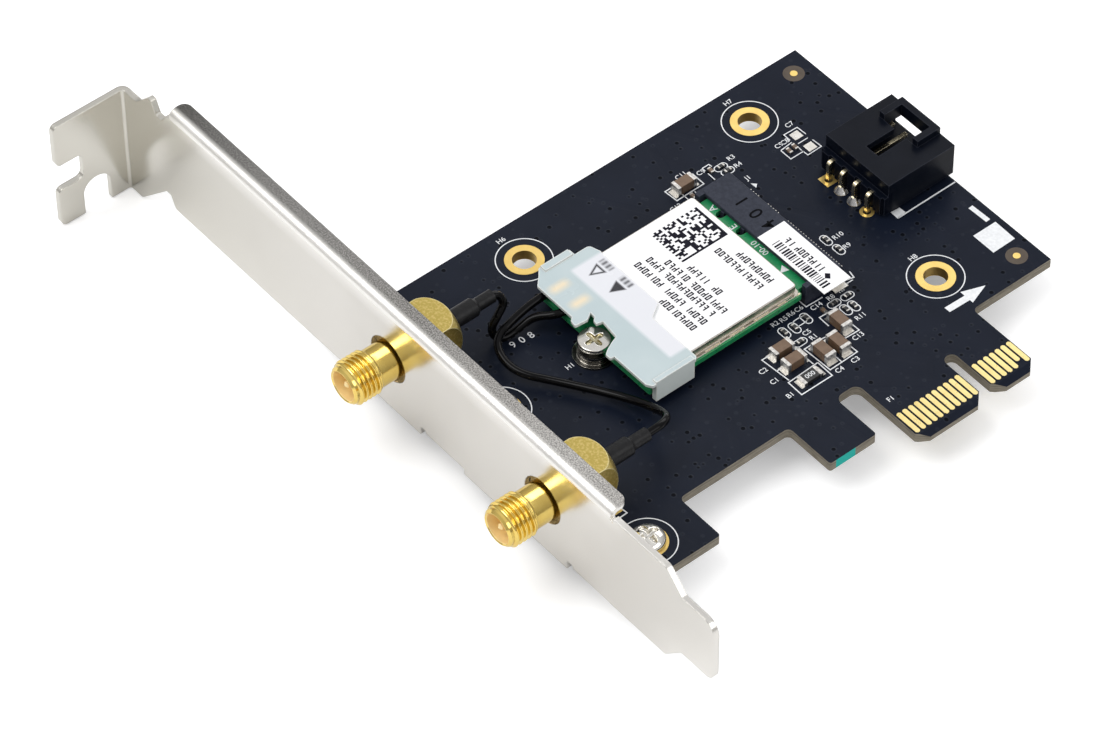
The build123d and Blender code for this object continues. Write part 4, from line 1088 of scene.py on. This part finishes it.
def pressed(x, y, span, width, depth):
    """Depth of a star-shaped driver recess with four arms at a place on the screw's head."""
    gap = math.hypot(x, y)
    arm = abs(math.cos(2 * math.atan2(y, x))) ** 2.5
    heart = width * 0.6
    reach = heart + (span / 2 - heart) * arm
    share = max(min((reach - gap) / 0.25, 1.0), 0.0)
    return depth * share * share * (3 - 2 * share) * (1 - 0.45 * gap / (span / 2))


def make_screw(name, node, place, rows, recess, material):
    """Screw turned from rows of (radius, height).

    recess is the span, arm width and depth of the driver recess in its crown.
    """
    mesh = bmesh.new()
    x, y = place
    steps = 96
    crown = rows[-1][1] - 1.2 * recess[2]
    rings = []
    for radius, height in rows:
        ring = []
        for step in range(steps):
            angle = 2 * math.pi * step / steps
            across, along = radius * math.cos(angle), radius * math.sin(angle)
            sunk = pressed(across, along, *recess) if height > crown else 0
            ring.append(mesh.verts.new(((x + across) * MM, (y + along) * MM, (height - sunk) * MM)))
        rings.append(ring)
    bridge(mesh, rings)
    mesh.faces.new(rings[0][::-1])
    mesh.faces.new(rings[-1])
    made = add_mesh(name, mesh, material)
    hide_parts(node)


def make_screws(material):
    """Domed screws in the feet and the flat one that holds the module."""
    steps = 34
    shank, head, rim, dome = 1.45, 2.3, 0.6, 1.1
    for number, place in enumerate(FOOT_SCREWS, 1):
        rows = [(1.2, FOOT_SCREW_END), (shank, FOOT_SCREW_END + 0.25), (shank, COPPER_T)]
        rows += [(head, COPPER_T), (head, rim)]
        for step in range(1, steps):
            angle = math.pi / 2 * step / steps
            rows.append((head * math.cos(angle), rim + dome * math.sin(angle)))
        names = ("domed_screw_%d" % number, "foot_screw_%d" % number)
        make_screw(*names, place, rows, (3.4, 1.1, 0.9), material)
    low = MODULE_TOP - 1.9
    top = MODULE_TOP + 0.65
    rows = [(0.8, low), (1.0, low + 0.2), (1.0, MODULE_TOP), (2.2, MODULE_TOP), (2.2, MODULE_TOP + 0.5)]
    rows += [(2.16, MODULE_TOP + 0.6), (2.08, top)]
    rows += [(2.05 * (1 - step / steps), top) for step in range(steps)]
    make_screw("flat_screw", "module_screw", MODULE_SCREW, rows, (3.0, 0.95, 0.5), material)


# Pigtails

PIGTAILS = [
    {
        "length": 0.0344,
        "points": [
            (-49.8, -58.11, 6.5),
            (-49.8, -43.5, 6.5),
            (-49.8, -41.1, 6.5),
            (-48.9, -40.5, 5.1),
            (-48.6, -42.0, 3.7),
            (-48.5, -43.2, 2.4),
            (-48.0, -43.1, 1.05),
            (-47.2, -42.1, 0.62),
            (-47.0, -40.0, 1.1),
            (-46.6, -37.6, 2.3),
            (-44.11, -35.6, 3.1),
            (-44.11, -33.9, 3.1),
        ],
    },
    {
        "length": 0.0614,
        "points": [
            (-19.0, -58.11, 6.5),
            (-19.0, -43.05, 6.5),
            (-19.0, -38.2, 6.5),
            (-22.6, -36.4, 3.8),
            (-28.7, -37.2, 1.7),
            (-36.4, -41.7, 1.2),
            (-41.4, -45.6, 1.6),
            (-46.5, -44.6, 2.5),
            (-47.6, -39.6, 2.9),
            (-47.96, -36.2, 3.1),
            (-47.96, -33.6, 3.1),
        ],
    },
]


def make_pigtails(material):
    for number, pigtail in enumerate(PIGTAILS, 1):
        points = pigtail["points"]
        curve = bpy.data.curves.new("coax_%d" % number, "CURVE")
        curve.dimensions = "3D"
        curve.bevel_depth = CABLE_D / 2 * MM
        curve.bevel_resolution = 6
        curve.resolution_u = 16
        curve.use_fill_caps = True
        spline = curve.splines.new("NURBS")
        spline.points.add(len(points) - 1)
        for spot, (x, y, z) in zip(spline.points, points):
            spot.co = (x * MM, y * MM, z * MM, 1)
        spline.order_u = 3
        spline.use_endpoint_u = True
        made = add_object("coax_%d" % number, curve, material)
        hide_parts("pigtail_%d" % number)


# Floor and light

FLOOR_GAP = 0.2 * MM


def make_floor(low):
    """Pale floor that shows white to the camera and keeps the object's shadow."""
    mesh = bmesh.new()
    bmesh.ops.create_grid(mesh, x_segments=8, y_segments=8, size=3.0)
    data = bpy.data.meshes.new("floor")
    mesh.to_mesh(data)
    mesh.free()
    floor = bpy.data.objects.new("floor", data)
    floor.location = (0, 0, low)
    bpy.context.collection.objects.link(floor)
    material = bpy.data.materials.new("floor_white")
    material.use_nodes = True
    tree = material.node_tree
    shader = tree.nodes["Principled BSDF"]
    shader.inputs["Base Color"].default_value = (0.86, 0.86, 0.86, 1)
    shader.inputs["Roughness"].default_value = 0.9
    shader.inputs["Specular IOR Level"].default_value = 0.1
    light = add(tree, "Emission", {"Color": (1, 1, 1, 1), "Strength": 0.3})
    both = add(tree, "AddShader", {0: shader.outputs[0], 1: light.outputs[0]})
    ray = add(tree, "LightPath")
    seen = maths(tree, "MAXIMUM", ray.outputs["Is Camera Ray"], ray.outputs["Is Transmission Ray"])
    choice = add(tree, "MixShader", {0: seen, 1: shader.outputs[0], 2: both.outputs[0]})
    output = tree.nodes["Material Output"]
    tree.links.new(choice.outputs[0], output.inputs["Surface"])
    data.materials.append(material)


def add_softbox(name, place, target, size, power):
    data = bpy.data.lights.new(name, "AREA")
    data.shape = "RECTANGLE"
    data.size, data.size_y = size
    data.energy = power
    lamp = bpy.data.objects.new(name, data)
    lamp.location = place
    lamp.rotation_euler = (Vector(target) - Vector(place)).to_track_quat("-Z", "Y").to_euler()
    bpy.context.collection.objects.link(lamp)


# Soft boxes: place and size in metres, and power; all look at the object's middle
LIT_MIDDLE = (-0.045, -0.02, 0.0)
SOFTBOXES = [
    ("key", (-0.22, -0.40, 0.72), (0.5, 0.5), 3.2),
    ("fill", (0.55, 0.15, 0.45), (0.6, 0.4), 1.4),
    ("back", (-0.30, 0.55, 0.40), (0.6, 0.3), 1.2),
]


def make_light():
    world = bpy.data.worlds.new("studio")
    bpy.context.scene.world = world
    world.use_nodes = True
    tree = world.node_tree
    room = tree.nodes["Background"]
    where = add(tree, "TexCoord").outputs["Generated"]
    height = add(tree, "SeparateXYZ", {0: where}).outputs[2]
    tone = mixed(tree, ranged(tree, height, -0.1, 0.9), (0.36, 0.35, 0.34), (0.80, 0.80, 0.81))
    tree.links.new(tone, room.inputs["Color"])
    white = add(tree, "Background", {"Color": (1, 1, 1, 1), "Strength": 1.0})
    ray = add(tree, "LightPath")
    seen = ray.outputs["Is Camera Ray"]
    choice = add(tree, "MixShader", {0: seen, 1: room.outputs[0], 2: white.outputs[0]})
    tree.links.new(choice.outputs[0], tree.nodes["World Output"].inputs["Surface"])
    for name, place, size, power in SOFTBOXES:
        add_softbox(name, place, LIT_MIDDLE, size, power)


make_camera()
looks = {**metal_looks(), **plastic_looks(), **print_looks()}
make_pigtails(looks["cable"])
dress_nodes(looks)
for jack_number, jack_x in enumerate(JACK_X, 1):
    make_jack(jack_number, jack_x, looks["jack"])
make_screws(looks["chrome"])
print_board(looks["silk"])
print_module_label(looks["ink"])
print_socket(looks["ink"], looks["faint"])
print_module_board(looks["silk"], looks["pin"])
print_resistor(looks["silk"])
print_bare_rings(looks["bare"])
print_chip_lands(looks["tin"])
make_floor(cad_box[0][2] - FLOOR_GAP)
make_light()
bpy.context.scene.view_settings.view_transform = "Standard"
